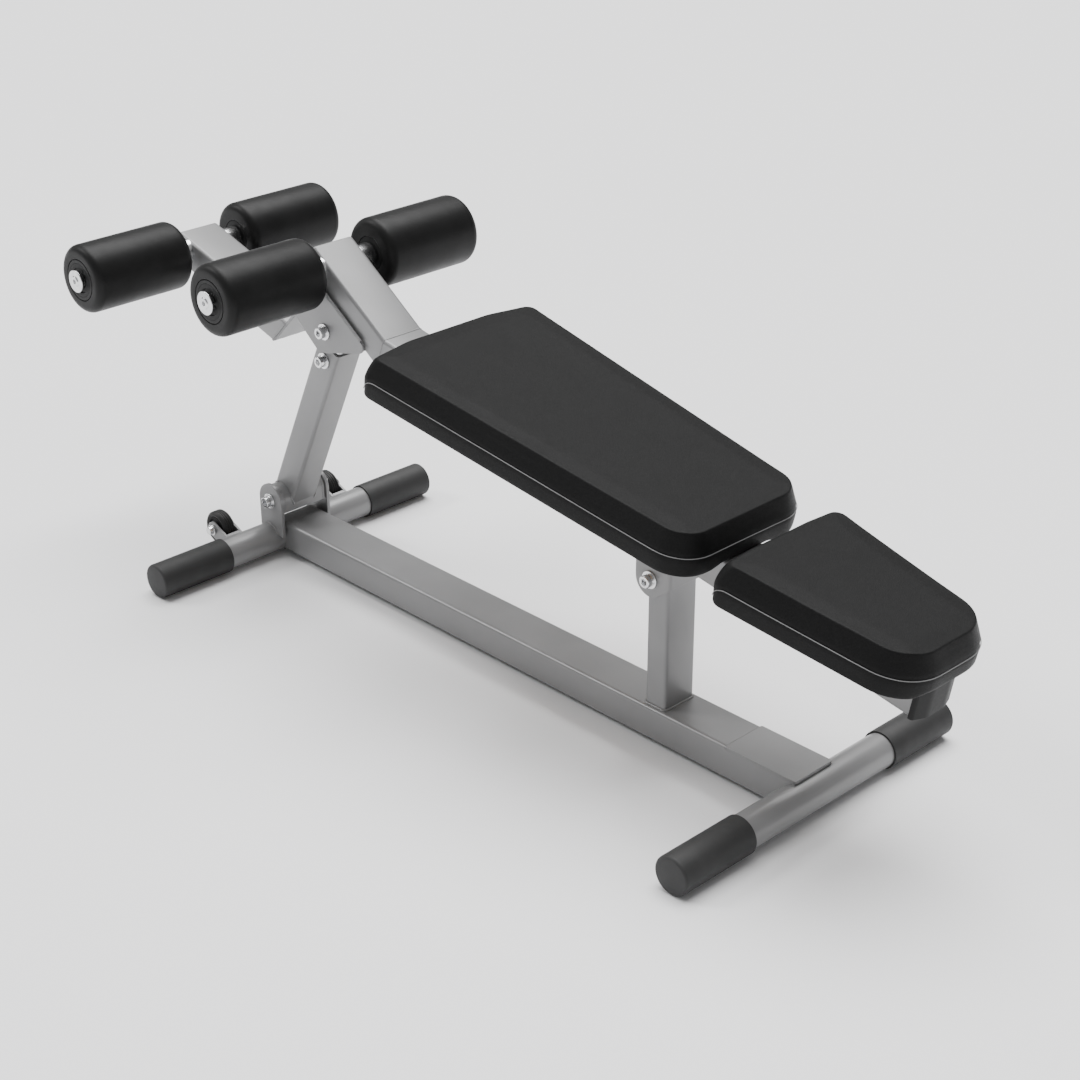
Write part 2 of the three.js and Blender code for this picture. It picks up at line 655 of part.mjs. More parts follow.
// Moulded plug with a bowed face that closes the head end of the bench beam.
function addBeamEndCap() {
  const flange = BEAM_WIDTH / 2 + 1.5;
  const bow = 12;
  const plan = new THREE.Shape();
  plan.moveTo(DECK_END + GAP, -flange);
  plan.lineTo(DECK_END + 3, -flange);
  plan.quadraticCurveTo(DECK_END + bow + 3, -flange * 0.75, DECK_END + bow + 3, 0);
  plan.quadraticCurveTo(DECK_END + bow + 3, flange * 0.75, DECK_END + 3, flange);
  plan.lineTo(DECK_END + GAP, flange);
  plan.closePath();
  const head = toSolid(upZ(plan, deckUnderBeam - 1, deckTopOfBeam - 0.5, 8));
  const inset = BEAM_WALL + 2;
  const y = BEAM_WIDTH / 2 - inset;
  const plug = toSolid(block(
    DECK_END - 22, DECK_END + 1, -y, y, deckUnderBeam + inset, deckTopOfBeam - inset));
  addPiece(deck, 'beam_end_cap', head.add(plug), blackPlastic);
}

// ---------------------------------------------------------------- rollers

const SPINDLE_RADIUS = 12.5;
const CORE_RADIUS = 16.5;
const HUB_RADIUS = 27;
const HUB_THICKNESS = 4;
const END_BOLT_RADIUS = 5;
const END_BOLT_DEPTH = 30;

// Axle of one roller pair: a thick middle through the beam and a spindle each side.
function addAxle(name, place) {
  const shoulder = ROLLER_INNER_END - 1;
  const end = ROLLER_OUTER_END + 0.2;
  const drill = END_BOLT_RADIUS + BORE_CLEARANCE;
  const profile = [
    [0, -end + END_BOLT_DEPTH], [drill, -end + END_BOLT_DEPTH], [drill, -end], [SPINDLE_RADIUS, -end],
    [SPINDLE_RADIUS, -shoulder], [AXLE_TUBE_RADIUS, -shoulder], [AXLE_TUBE_RADIUS, shoulder],
    [SPINDLE_RADIUS, shoulder], [SPINDLE_RADIUS, end], [drill, end], [drill, end - END_BOLT_DEPTH],
    [0, end - END_BOLT_DEPTH],
  ];
  addPiece(floorFrame, name, turned(profile, place.x, place.z, 20), zinc);
}

function addRollers(name, place) {
  const { x, z } = place;
  const edge = 13;
  const from = -ROLLER_OUTER_END;
  const to = -ROLLER_INNER_END;
  const recess = HUB_THICKNESS + 1;
  const bore = CORE_RADIUS + GAP;
  const round = (yEnd, direction) => [0, 1, 2].map((step) => {
    const angle = (step * Math.PI) / 4;
    const along = edge * (1 - Math.cos(angle));
    return [ROLLER_RADIUS - edge + edge * Math.sin(angle), yEnd + direction * along];
  });
  const foam = [
    [bore, from + recess], [HUB_RADIUS + GAP, from + recess], [HUB_RADIUS + GAP, from],
    ...round(from, 1), ...round(to, -1).reverse(),
    [HUB_RADIUS + GAP, to], [HUB_RADIUS + GAP, to - recess], [bore, to - recess], [bore, from + recess],
  ];
  addPair(floorFrame, `${name}_roller_foam`, turned(foam, x, z, 28), blackFoam);
  const inner = SPINDLE_RADIUS + BORE_CLEARANCE;
  const hubFrom = from + recess - GAP - HUB_THICKNESS;
  const hubTo = to - recess + GAP + HUB_THICKNESS;
  const core = [
    [inner, hubFrom], [HUB_RADIUS, hubFrom], [HUB_RADIUS, hubFrom + HUB_THICKNESS],
    [CORE_RADIUS, hubFrom + HUB_THICKNESS], [CORE_RADIUS, hubTo - HUB_THICKNESS],
    [HUB_RADIUS, hubTo - HUB_THICKNESS], [HUB_RADIUS, hubTo], [inner, hubTo], [inner, hubFrom],
  ];
  addPair(floorFrame, `${name}_roller_core`, turned(core, x, z, 20), blackPlastic);
  const face = -ROLLER_OUTER_END - 0.5;
  const bolt = [
    [0, -AXLE_TIP], [6, -AXLE_TIP], [8, -AXLE_TIP + 1.5], [18, -AXLE_TIP + 1.5],
    [18, -AXLE_TIP + 5], [14, -AXLE_TIP + 5], [14, face], [END_BOLT_RADIUS, face],
    [END_BOLT_RADIUS, face + END_BOLT_DEPTH - 2], [0, face + END_BOLT_DEPTH - 2],
  ];
  addPair(floorFrame, `${name}_roller_bolt`, turned(bolt, x, z), zinc);
}

// ---------------------------------------------------------------- pads

const PAD_SEAM_DEPTH = 31;       // the piped seam below the top face
const PAD_BEVEL = 13;            // how far the top face stands in from the seam
const BOARD_THICKNESS = 12;
const BOARD_INSET = 8;

// Plan of a pad: tapering sides, a bowed rear edge and round front corners. The sides and the
// front stand in by inset, the rear edge by rearInset.
function padPlan(pad, inset, rearInset) {
  const halfWidth = (x) => pad.halfWidthAtZero - pad.taper * x - inset;
  const rear = pad.rear + rearInset;
  const corner = rear + pad.bow;
  const front = pad.front - inset;
  const middle = 0.45 * halfWidth(rear);
  const plan = roundedOutline([
    [corner, -halfWidth(corner), pad.rearCorner],
    [front, -halfWidth(front), pad.frontCorner - inset],
    [front, halfWidth(front), pad.frontCorner - inset],
    [corner, halfWidth(corner), pad.rearCorner],
    [rear, middle, 60],
    [rear, -middle, 60],
  ]);
  return plan.getPoints(4).filter(
    (point, index, all) => point.distanceTo(all[(index + 1) % all.length]) > 1e-3);
}

// A closed skin through level outlines, lowest first, each with the same number of points.
function lofted(levels) {
  const count = levels[0].points.length;
  const positions = levels.flatMap(({ z, points }) => points.flatMap((point) => [point.x, point.y, z]));
  const indices = [];
  for (let level = 0; level < levels.length - 1; level += 1) {
    for (let i = 0; i < count; i += 1) {
      const low = level * count + i;
      const lowNext = level * count + ((i + 1) % count);
      indices.push(low, lowNext, lowNext + count, low, lowNext + count, low + count);
    }
  }
  const top = (levels.length - 1) * count;
  THREE.ShapeUtils.triangulateShape(levels[0].points, []).forEach(([a, b, c]) => indices.push(a, c, b));
  THREE.ShapeUtils.triangulateShape(levels.at(-1).points, [])
    .forEach(([a, b, c]) => indices.push(top + a, top + b, top + c));
  const geometry = new THREE.BufferGeometry();
  geometry.setAttribute('position', new THREE.Float32BufferAttribute(positions, 3));
  geometry.setIndex(indices);
  geometry.computeVertexNormals();
  return geometry;
}

const BACK_PAD = {
  rear: -166, front: 437.5, halfWidthAtZero: 156, taper: 0.065,
  bow: 13, rearCorner: 14, frontCorner: 54,
};
const HEAD_PAD = {
  rear: 474, front: 772.5, halfWidthAtZero: 179.5, taper: 0.115,
  bow: 4, rearCorner: 14, frontCorner: 66,
};

// Upholstery: bevelled down to the seam, with a rounded rear edge, over a plywood board.
function addPad(name, pad, boltPlaces) {
  const level = (depth, inset, rearInset) => ({ z: -depth, points: padPlan(pad, inset, rearInset) });
  const cover = lofted([
    level(PAD_THICKNESS - GAP, 2, 2),
    level(PAD_SEAM_DEPTH, 0, 0),
    level(PAD_SEAM_DEPTH / 3, (2 * PAD_BEVEL) / 3, 2),
    level(PAD_SEAM_DEPTH / 8, (7 * PAD_BEVEL) / 8, 6),
    level(0, PAD_BEVEL, 13),
  ]);
  const boardTop = PAD_THICKNESS - BOARD_THICKNESS - GAP;
  const pocket = lofted([
    level(PAD_THICKNESS + 1, BOARD_INSET - GAP, BOARD_INSET - GAP),
    level(boardTop - GAP, BOARD_INSET - GAP, BOARD_INSET - GAP),
  ]);
  addPiece(deck, name, cut(toSolid(cover), toSolid(pocket)), blackVinyl);
  const board = lofted([
    level(PAD_THICKNESS - GAP, BOARD_INSET, BOARD_INSET),
    level(boardTop, BOARD_INSET, BOARD_INSET),
  ]);
  const holes = boltPlaces.map(
    (x) => toSolid(verticalRod(x, PAD_BOLT_RADIUS + BORE_CLEARANCE, -100, -PAD_THICKNESS + 10)));
  addPiece(deck, `${name}_board`, cut(toSolid(board), ...holes), plywood);
}

// Bolts from under the bench beam up into the pad boards.
function addPadBolts() {
  [['back_pad_bolt', BACK_PAD_BOLTS], ['head_pad_bolt', HEAD_PAD_BOLTS]].forEach(([name, places]) => {
    places.forEach((x, index) => {
      const seat = deckUnderBeam - GAP;
      const profile = [
        [0, seat - 8], [6, seat - 8], [6.5, seat - 7.5], [6.5, seat - 2], [9, seat - 2], [9, seat],
        [PAD_BOLT_RADIUS, seat], [PAD_BOLT_RADIUS, -PAD_THICKNESS + 9], [0, -PAD_THICKNESS + 9],
      ];
      const bolt = turned(profile, 0, 0, 10).rotateX(Math.PI / 2).translate(x, 0, 0);
      addPiece(deck, `${name}_${index + 1}`, bolt, zinc);
    });
  });
}

// ---------------------------------------------------------------- rear strut

const FOOT_HALF_WIDTH = 43;
const FOOT_BARREL = 25;
const INNER_TUBE = 44;
const INNER_TUBE_WALL = 3;
const INNER_TUBE_FROM = 40;      // along the strut, inside the outer tube
const EYE_RADIUS = 11;
const EYE_BORE_CLEARANCE = 2.2;  // the linkage is open here, so the eye is loose on its bolt

function addStrut() {
  const section = roundedRectangle(STRUT_SIZE, STRUT_SIZE, 5);
  const innerSize = STRUT_SIZE - 2 * STRUT_WALL;
  section.holes.push(roundedRectangle(innerSize, innerSize, 2.5));
  const tube = cut(toSolid(upZ(section, STRUT_START, STRUT_TOP)),
    toSolid(rod(0, 0, FOOT_BARREL + GAP, -60, 60, 24)),
    toSolid(rod(0, LOCK_BOLT_AT, BOLT_RADIUS + BORE_CLEARANCE, -60, 60)));
  addPiece(strutFrame, 'strut_tube', tube, greyPaint);
  addPiece(strutFrame, 'lock_bolt',
    socketBolt(0, LOCK_BOLT_AT, -STRUT_SIZE / 2 - GAP, STRUT_SIZE / 2 + 12), zinc);
  const nut = thinNut(0, LOCK_BOLT_AT, STRUT_SIZE / 2 + GAP);
  addPiece(strutFrame, 'lock_nut', nut, zinc);
}

// Foot of the strut: an upside-down channel with a round top, two cheeks and a pivot tube.
function addStrutFoot() {
  const { x, z } = REAR_PIVOT;
  const skirt = 18;
  const shell = (radius) => {
    const outline = new THREE.Shape();
    outline.moveTo(x - radius, z - skirt);
    outline.lineTo(x + radius, z - skirt);
    outline.lineTo(x + radius, z);
    outline.absarc(x, z, radius, 0, Math.PI);
    outline.closePath();
    return outline;
  };
  const cheek = FOOT_HALF_WIDTH - PLATE;
  const cavity = acrossY(shell(FOOT_BARREL - PLATE), -cheek, cheek, 8);
  const room = FOOT_BARREL - PLATE;
  const opening = block(x - room, x + room, -cheek, cheek, z - skirt - 10, z);
  const hull = toSolid(acrossY(shell(FOOT_BARREL), -FOOT_HALF_WIDTH, FOOT_HALF_WIDTH, 8));
  const pivotTube = toSolid(rod(x, z, PIVOT_TUBE_RADIUS, -FOOT_HALF_WIDTH, FOOT_HALF_WIDTH));
  const foot = cut(cut(hull, toSolid(cavity), toSolid(opening)).add(pivotTube), boltHole(x, z));
  addPiece(strutFrame, 'strut_foot', between(toGeometry(foot), floorFrame, strutFrame), greyPaint);
}

// Inner tube: a slot for the lock bolt and a cross tube for the upper pivot at its top.
function addInnerTube() {
  const top = UPPER_PIVOT_AT + EYE_RADIUS + 11;
  const section = roundedRectangle(INNER_TUBE, INNER_TUBE, 3);
  const bore = INNER_TUBE - 2 * INNER_TUBE_WALL;
  section.holes.push(roundedRectangle(bore, bore, 1));
  const radius = BOLT_RADIUS + BORE_CLEARANCE;
  const low = LOCK_BOLT_AT - STRUT_TRAVEL - radius - 1;
  const high = LOCK_BOLT_AT + radius + 1;
  const slot = roundedOutline([
    [-radius, low, radius - 0.1],
    [radius, low, radius - 0.1],
    [radius, high, radius - 0.1],
    [-radius, high, radius - 0.1],
  ]);
  const eyeEnd = GUSSET_INNER - 0.6;
  const tube = cut(
    cut(toSolid(upZ(section, INNER_TUBE_FROM, top)), toSolid(acrossY(slot, -60, 60)))
      .add(toSolid(rod(0, UPPER_PIVOT_AT, EYE_RADIUS, -eyeEnd, eyeEnd))),
    toSolid(rod(0, UPPER_PIVOT_AT, BOLT_RADIUS + EYE_BORE_CLEARANCE, -60, 60)));
  addPiece(strutFrame, 'strut_inner_tube', tube, zinc);
}

// ---------------------------------------------------------------- assembly

addFootTubes();
addFootSleeves();
addBaseRail();
addFrontPost();
addPivotBolts();
addRearEars();
addWheelForks();
addWheelPins();
addWheels();
addSeatBeam();
addUpperBeam();
addArm();
addGussetBracket();
addHingeSaddle();
addBeamEndCap();
addAxle('knee_roller_axle', KNEE_AXLE);
addAxle('foot_roller_axle', FOOT_AXLE);
addRollers('knee', KNEE_AXLE);
addRollers('foot', FOOT_AXLE);
addPad('back_pad', BACK_PAD, BACK_PAD_BOLTS);
addPad('head_pad', HEAD_PAD, HEAD_PAD_BOLTS);
addPadBolts();
addStrut();
addStrutFoot();
addInnerTube();

// The origin is the middle of the underside of the bounding box.
const bounds = new THREE.Box3().setFromObject(bench, true);
bench.position.set(-(bounds.min.x + bounds.max.x) / 2, 0, -bounds.min.z);

export default bench;
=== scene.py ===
# An adjustable decline bench: a floor frame, a tilting beam with two vinyl pads and two pairs of
# foam leg rollers, and a telescopic strut. It is built up here in the order a fitter would follow.
# Sizes are in millimetres in each section's own frame, and become metres as a mesh is made.

import json
import math

import bmesh
import bpy
import numpy as np
from mathutils import Matrix, Vector, kdtree
from mathutils.bvhtree import BVHTree


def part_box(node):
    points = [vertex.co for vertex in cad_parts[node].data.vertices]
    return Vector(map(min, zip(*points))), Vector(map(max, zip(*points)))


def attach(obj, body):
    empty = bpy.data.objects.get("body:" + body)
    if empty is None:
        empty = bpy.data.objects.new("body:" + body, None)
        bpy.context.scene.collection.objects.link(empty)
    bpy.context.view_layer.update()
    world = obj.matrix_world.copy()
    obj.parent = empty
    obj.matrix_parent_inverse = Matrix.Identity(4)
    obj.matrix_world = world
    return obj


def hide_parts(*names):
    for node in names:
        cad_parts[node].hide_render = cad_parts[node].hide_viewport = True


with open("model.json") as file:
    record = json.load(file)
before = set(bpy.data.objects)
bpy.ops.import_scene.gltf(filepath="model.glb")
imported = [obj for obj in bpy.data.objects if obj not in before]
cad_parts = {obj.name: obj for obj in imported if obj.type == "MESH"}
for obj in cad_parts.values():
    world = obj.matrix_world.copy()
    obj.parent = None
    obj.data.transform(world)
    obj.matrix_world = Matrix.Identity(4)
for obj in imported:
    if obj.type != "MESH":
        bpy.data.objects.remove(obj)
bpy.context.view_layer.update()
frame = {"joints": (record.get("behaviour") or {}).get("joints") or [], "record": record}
joints = {joint["name"]: joint for joint in frame["joints"]}


# --------------------------------------------------
# Foot tubes. Two round steel tubes lie across the floor, powder coated in a satin light grey.
# Everything else is set out from the point midway between them.

def frame_at(x, z, tilt=0.0):
    """A frame in millimetres at (x, z) metres whose x axis leans down by tilt."""
    turn = Matrix.Rotation(tilt, 4, "Y")
    return Matrix.Translation((x, 0, z)) @ turn @ Matrix.Scale(0.001, 4)


def middle_of(node):
    low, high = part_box(node)
    return (low + high) / 2


FOOT_RADIUS = 25.4
FOOT_WALL = 2.5
FOOT_TUBE_END = 273
FOOT_HEIGHT = middle_of("front_foot_tube").z * 1000
FRONT_FOOT = middle_of("front_foot_tube").x
REAR_FOOT = middle_of("rear_foot_tube").x
FLOOR = frame_at((FRONT_FOOT + REAR_FOOT) / 2, 0)
TO_FLOOR = FLOOR.inverted()
FOOT_X = (FRONT_FOOT - REAR_FOOT) * 500
FEET = (("front", FOOT_X), ("rear", -FOOT_X))


class Wire:
    """An output of a node, with arithmetic that adds Math nodes."""

    def __init__(self, tree, socket):
        self.tree = tree
        self.socket = socket

    def math(self, operation, first, second):
        node = self.tree.nodes.new("ShaderNodeMath")
        node.operation = operation
        for socket, value in zip(node.inputs, (first, second)):
            plug(self.tree, socket, value)
        return Wire(self.tree, node.outputs[0])

    def __add__(self, other):
        return self.math("ADD", self, other)

    def __mul__(self, other):
        return self.math("MULTIPLY", self, other)

    def __sub__(self, other):
        return self.math("SUBTRACT", self, other)

    def __rsub__(self, other):
        return self.math("SUBTRACT", other, self)

    __radd__ = __add__
    __rmul__ = __mul__


def plug(tree, socket, value):
    if isinstance(value, Wire):
        tree.links.new(value.socket, socket)
    else:
        socket.default_value = value


class Finish:
    """A material with one Principled shader."""

    def __init__(self, name, **constants):
        self.material = bpy.data.materials.new(name)
        self.material.use_nodes = True
        self.tree = self.material.node_tree
        self.shader = self.tree.nodes["Principled BSDF"]
        for socket, value in constants.items():
            self.shader.inputs[socket.replace("_", " ")].default_value = value
        self.place = self.node("ShaderNodeTexCoord", output="Object")

    def node(self, kind, settings=None, output=0, **sockets):
        node = self.tree.nodes.new(kind)
        for setting, value in (settings or {}).items():
            setattr(node, setting, value)
        for socket, value in sockets.items():
            plug(self.tree, node.inputs[socket.replace("_", " ")], value)
        return Wire(self.tree, node.outputs[output])

    def noise(self, scale, detail=2.0, roughness=0.5):
        return self.node("ShaderNodeTexNoise", Vector=self.place, Scale=scale, Detail=detail,
                         Roughness=roughness)

    def blend(self, factor, dark, light):
        """A colour between two, by factor."""
        node = self.tree.nodes.new("ShaderNodeMix")
        node.data_type = "RGBA"
        plug(self.tree, node.inputs["Factor"], factor)
        plug(self.tree, node.inputs[6], dark)
        plug(self.tree, node.inputs[7], light)
        return Wire(self.tree, node.outputs[2])

    def ramp(self, value, low, high):
        """0 below low, 1 above high, smooth between."""
        return self.node("ShaderNodeMapRange", {"interpolation_type": "SMOOTHSTEP"}, Value=value,
                         From_Min=low, From_Max=high)

    def feed(self, socket, value):
        plug(self.tree, self.shader.inputs[socket], value)

    def bump(self, height, depth, strength=1.0):
        self.feed("Normal", self.node("ShaderNodeBump", Height=height, Distance=depth,
                                      Strength=strength))


def grey(level):
    return (level, level, level * 1.01, 1.0)


def make_paint():
    """Satin powder coat: an even grey with a faint orange peel and slightly cloudy gloss."""
    paint = Finish("grey_powder_coat", Metallic=0.2, IOR=1.5, Coat_Weight=0.2, Coat_Roughness=0.2)
    clouds = paint.noise(7.0, 3.0)
    flake = paint.noise(2600.0, 1.0)
    tone = paint.ramp(clouds * 0.75 + flake * 0.25, 0.3, 0.7)
    paint.feed("Base Color", paint.blend(tone, grey(0.20), grey(0.235)))
    paint.feed("Roughness", paint.noise(18.0, 4.0) * 0.14 + 0.31)
    paint.bump(paint.noise(520.0, 2.0), 0.00012, 0.5)
    return paint.material


GREY_PAINT = make_paint()


def loft(rings, loop=False, caps=True):
    """Points and faces of a skin through rings of equal count, closed by caps or into a loop."""
    count = len(rings[0])
    points = [point for ring in rings for point in ring]
    faces = []
    for step in range(len(rings) if loop else len(rings) - 1):
        low = step * count
        high = (step + 1) % len(rings) * count
        for i in range(count):
            after = (i + 1) % count
            faces.append((low + i, low + after, high + after, high + i))
    if caps and not loop:
        faces.append(tuple(reversed(range(count))))
        faces.append(tuple(range(len(points) - count, len(points))))
    return points, faces


def round_off(corners, closed=True, steps=6):
    """The path through corners (x, y, radius), with each corner rounded by its radius."""
    path = []
    for i, (x, y, *rest) in enumerate(corners):
        corner = Vector((x, y))
        radius = rest[0] if rest else 0
        if not radius or (not closed and i in (0, len(corners) - 1)):
            path.append(corner)
            continue
        back = (Vector(corners[i - 1][:2]) - corner).normalized()
        ahead = (Vector(corners[(i + 1) % len(corners)][:2]) - corner).normalized()
        half = back.angle(ahead) / 2
        centre = corner + (back + ahead).normalized() * (radius / math.sin(half))
        start = corner + back * (radius / math.tan(half)) - centre
        end = corner + ahead * (radius / math.tan(half)) - centre
        sweep = math.atan2(start.x * end.y - start.y * end.x, start.dot(end))
        path += [centre + Matrix.Rotation(sweep * step / steps, 2) @ start for step in range(steps + 1)]
    return path


def stacked(layers, x, z, count=72, loop=False):
    """A shape about a line along Y through (x, z), from layers (radius or radii, y)."""
    rings = []
    for radii, y in layers:
        if not isinstance(radii, list):
            radii = [radii] * count
        ring = []
        for i, radius in enumerate(radii):
            angle = 2 * math.pi * i / count
            ring.append((x + radius * math.cos(angle), y, z + radius * math.sin(angle)))
        rings.append(ring)
    return loft(rings, loop)


def turned(profile, x, z, count=72, loop=False, steps=5):
    """A round shape of the same kind, from corners (radius, y, rounding)."""
    return stacked(round_off(profile, closed=loop, steps=steps), x, z, count, loop)


def placed(name, data):
    """An object that holds data, in the scene."""
    thing = bpy.data.objects.new(name, data)
    bpy.context.scene.collection.objects.link(thing)
    return thing


def make(name, shape, finish, body, at=FLOOR, nodes=(), slot="grey_paint", edge=0.0, sharp=38,
         merge=False):
    """A piece from points and faces in a millimetre frame, finished and put on its body."""
    points, faces = shape
    mesh = bpy.data.meshes.new(name)
    mesh.from_pydata([at @ Vector(point) for point in points], [], faces)
    shell = bmesh.new()
    shell.from_mesh(mesh)
    if merge:
        bmesh.ops.remove_doubles(shell, verts=shell.verts, dist=1e-6)
    bmesh.ops.recalc_face_normals(shell, faces=shell.faces)
    shell.to_mesh(mesh)
    shell.free()
    mesh.shade_smooth()
    mesh.set_sharp_from_angle(angle=math.radians(sharp))
    mesh.materials.append(finish)
    piece = placed(name, mesh)
    if edge:
        soften = piece.modifiers.new("edges", "BEVEL")
        soften.width = edge * 0.001
        soften.segments = 3
        soften.limit_method = "ANGLE"
        soften.angle_limit = math.radians(sharp)
        soften.harden_normals = True
    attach(piece, body)
    if nodes:
        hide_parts(*nodes)
    return piece


def painted(node, shape, body, piece=None, **more):
    """A painted piece in place of a CAD node."""
    make(f"painted_{piece or node}", shape, GREY_PAINT, body, nodes=[node], **more)


def mirrored(half, middle=0.0):
    """A profile's corners from half of them, given by radius, distance from middle and rounding."""
    return ([(radius, middle - away, rounding) for radius, away, rounding in half]
            + [(radius, middle + away, rounding) for radius, away, rounding in reversed(half)])


def pipe_profile(outer, inner, half_length, edge=0.6):
    return mirrored([(inner, half_length, edge), (outer, half_length, edge)])


for end, x in FEET:
    profile = pipe_profile(FOOT_RADIUS, FOOT_RADIUS - FOOT_WALL, FOOT_TUBE_END)
    tube = turned(profile, x, FOOT_HEIGHT, 96, loop=True, steps=3)
    painted(f"{end}_foot_tube", tube, "base")


# --------------------------------------------------
# Foot sleeves. Black rubber sleeves, closed and rounded at the outer end, are pushed over the
# four tube ends, so that the bench neither slides nor marks the floor.

SLEEVE_RADIUS = 28.0
SLEEVE_MOUTH = 144
SLEEVE_END = 277
SIDES = (("right", -1), ("left", 1))


def make_rubber(name, tone, roughness):
    """Matt moulded rubber with a fine, dusty grain."""
    rubber = Finish(name, IOR=1.5, Specular_IOR_Level=0.35)
    dust = rubber.ramp(rubber.noise(26.0, 5.0), 0.45, 0.75)
    rubber.feed("Base Color", rubber.blend(dust, grey(tone), grey(tone * 1.25)))
    rubber.feed("Roughness", rubber.noise(60.0, 3.0) * 0.16 + roughness)
    rubber.bump(rubber.noise(1500.0, 3.0, 0.6), 0.0002, 0.5)
    return rubber.material


SLEEVE_RUBBER = make_rubber("sleeve_rubber", 0.024, 0.5)

for end, x in FEET:
    for side, sign in SIDES:
        inner = FOOT_RADIUS + 0.3
        profile = [
            (0.5, sign * (SLEEVE_END - 3)), (inner, sign * (SLEEVE_END - 3)),
            (inner, sign * SLEEVE_MOUTH, 0.5), (SLEEVE_RADIUS, sign * SLEEVE_MOUTH, 0.8),
            (SLEEVE_RADIUS, sign * (SLEEVE_END - 0.8), 4.0), (0.5, sign * SLEEVE_END),
        ]
        sleeve = turned(profile, x, FOOT_HEIGHT, 96)
        make(f"rubber_{end}_sleeve_{side}", sleeve, SLEEVE_RUBBER, "base",
             nodes=[f"foot_sleeve_{end}_{side}"], slot="sleeve_rubber")


# --------------------------------------------------
# Base rail. A rectangular tube joins the foot tubes; its ends are fish-mouthed round them and
# welded, and a thin flat plate finishes the top at the head end.

BEAM_WIDTH = 76.0
BEAM_DEPTH = 50.8
BEAM_CORNER = 6.0
BEAM_WALL = 3.0
RAIL_TOP = 59.5
PLATE_FROM = 430.0
PLATE_DEPTH = 4.0


def tube_section(width, depth, corner, middle=0.0):
    half_width = width / 2
    half_depth = depth / 2
    corners = [(-half_width, middle - half_depth, corner), (half_width, middle - half_depth, corner),
               (half_width, middle + half_depth, corner), (-half_width, middle + half_depth, corner)]
    return round_off(corners)


def fish_mouth(centre, sign):
    """Where a tube along X meets the foot tube at centre, on its side given by sign."""
    def reach(y, z):
        drop = FOOT_RADIUS ** 2 - (z - FOOT_HEIGHT) ** 2
        return centre + sign * math.sqrt(max(drop, 0.0))
    return reach


def square(x):
    return lambda y, z: x


def open_beam(section, wall_section, start, end, between=()):
    """An open tube along X: start and end give x over the section; between adds sections."""
    outer = [[(start(y, z), y, z) for y, z in section]]
    outer += [[(x, y, z) for y, z in other] for x, other in between]
    last = between[-1][1] if between else section
    outer.append([(end(y, z), y, z) for y, z in last])
    inner = [[(cut(y, z), y, z) for y, z in wall_section] for cut in (end, start)]
    return loft(outer + inner, loop=True)


def hoop(spot, along, across, radius, sides=10):
    """A ring of points round a spot on a path."""
    other = along.cross(across)
    angles = [2 * math.pi * k / sides for k in range(sides)]
    return [spot + (across * math.cos(angle) + other * math.sin(angle)) * radius for angle in angles]


def weld(name, path, body, at=FLOOR, radius=2.0, closed=False):
    """A painted weld bead along a path, with the ripple that a welder leaves."""
    spots = [Vector(point) for point in path]
    if closed:
        spots.append(spots[0])
    trail = [spots[0]]
    for start, end in zip(spots, spots[1:]):
        pieces = max(1, round((end - start).length / 1.3))
        trail += [start.lerp(end, step / pieces) for step in range(1, pieces + 1)]
    if closed:
        trail.pop()
    rings = []
    for i, spot in enumerate(trail):
        before = trail[i - 1] if i or closed else spot
        after = trail[(i + 1) % len(trail)] if closed or i + 1 < len(trail) else spot
        along = (after - before).normalized()
        across = along.orthogonal() if abs(along.y) > 0.9 else along.cross(Vector((0, 1, 0)))
        ripple = 1 + 0.1 * math.sin(i * 1.9) + 0.05 * math.sin(i * 0.37)
        rings.append(hoop(spot, along, across.normalized(), radius * ripple))
    make(name, loft(rings, loop=closed), GREY_PAINT, body, at=at, sharp=80)


rail_middle = RAIL_TOP - BEAM_DEPTH / 2
rail_section = tube_section(BEAM_WIDTH, BEAM_DEPTH, BEAM_CORNER, rail_middle)
rail_inner = tube_section(BEAM_WIDTH - 2 * BEAM_WALL, BEAM_DEPTH - 4 * BEAM_WALL, 3, rail_middle)
stepped = [Vector((y, min(z, RAIL_TOP - PLATE_DEPTH - 0.2))) for y, z in rail_section]
rail = open_beam(rail_section, rail_inner, fish_mouth(-FOOT_X, 1), fish_mouth(FOOT_X, -1),
                 [(PLATE_FROM - 0.15, rail_section), (PLATE_FROM - 0.1, stepped)])
painted("base_rail", rail, "base")

plate_half = BEAM_WIDTH / 2 + 0.2
plate_plan = round_off([(PLATE_FROM, -plate_half, 2.5), (FOOT_X + 1, -plate_half, 3),
                        (FOOT_X + 1, plate_half, 3), (PLATE_FROM, plate_half, 2.5)])
end_plate = loft([[(x, y, z) for x, y in plate_plan] for z in (RAIL_TOP - PLATE_DEPTH, RAIL_TOP)])
painted("rail_end_plate", end_plate, "base", edge=0.3)

for end, centre in FEET:
    sign = -1 if end == "front" else 1
    mouth = fish_mouth(centre, sign)
    seam = [(mouth(y, z) + sign * 0.8, y, z) for y, z in rail_section if z < RAIL_TOP - 8]
    split = max(range(len(seam)), key=lambda i: (Vector(seam[i]) - Vector(seam[i - 1])).length)
    weld(f"weld_rail_{end}", seam[split:] + seam[:split], "base", radius=1.7)


# --------------------------------------------------
# Front post. A rectangular tube stands on the rail, welded all round. A steel bush is welded
# through its top for the pivot bolt.

POST_X = 293.4
POST_DEPTH = 38.0
POST_WIDTH = 60.0
POST_TOP = 281.0
POST_WALL = 3.0
FRONT_PIVOT = TO_FLOOR @ Vector(joints["beam_tilt"]["pos_m"])


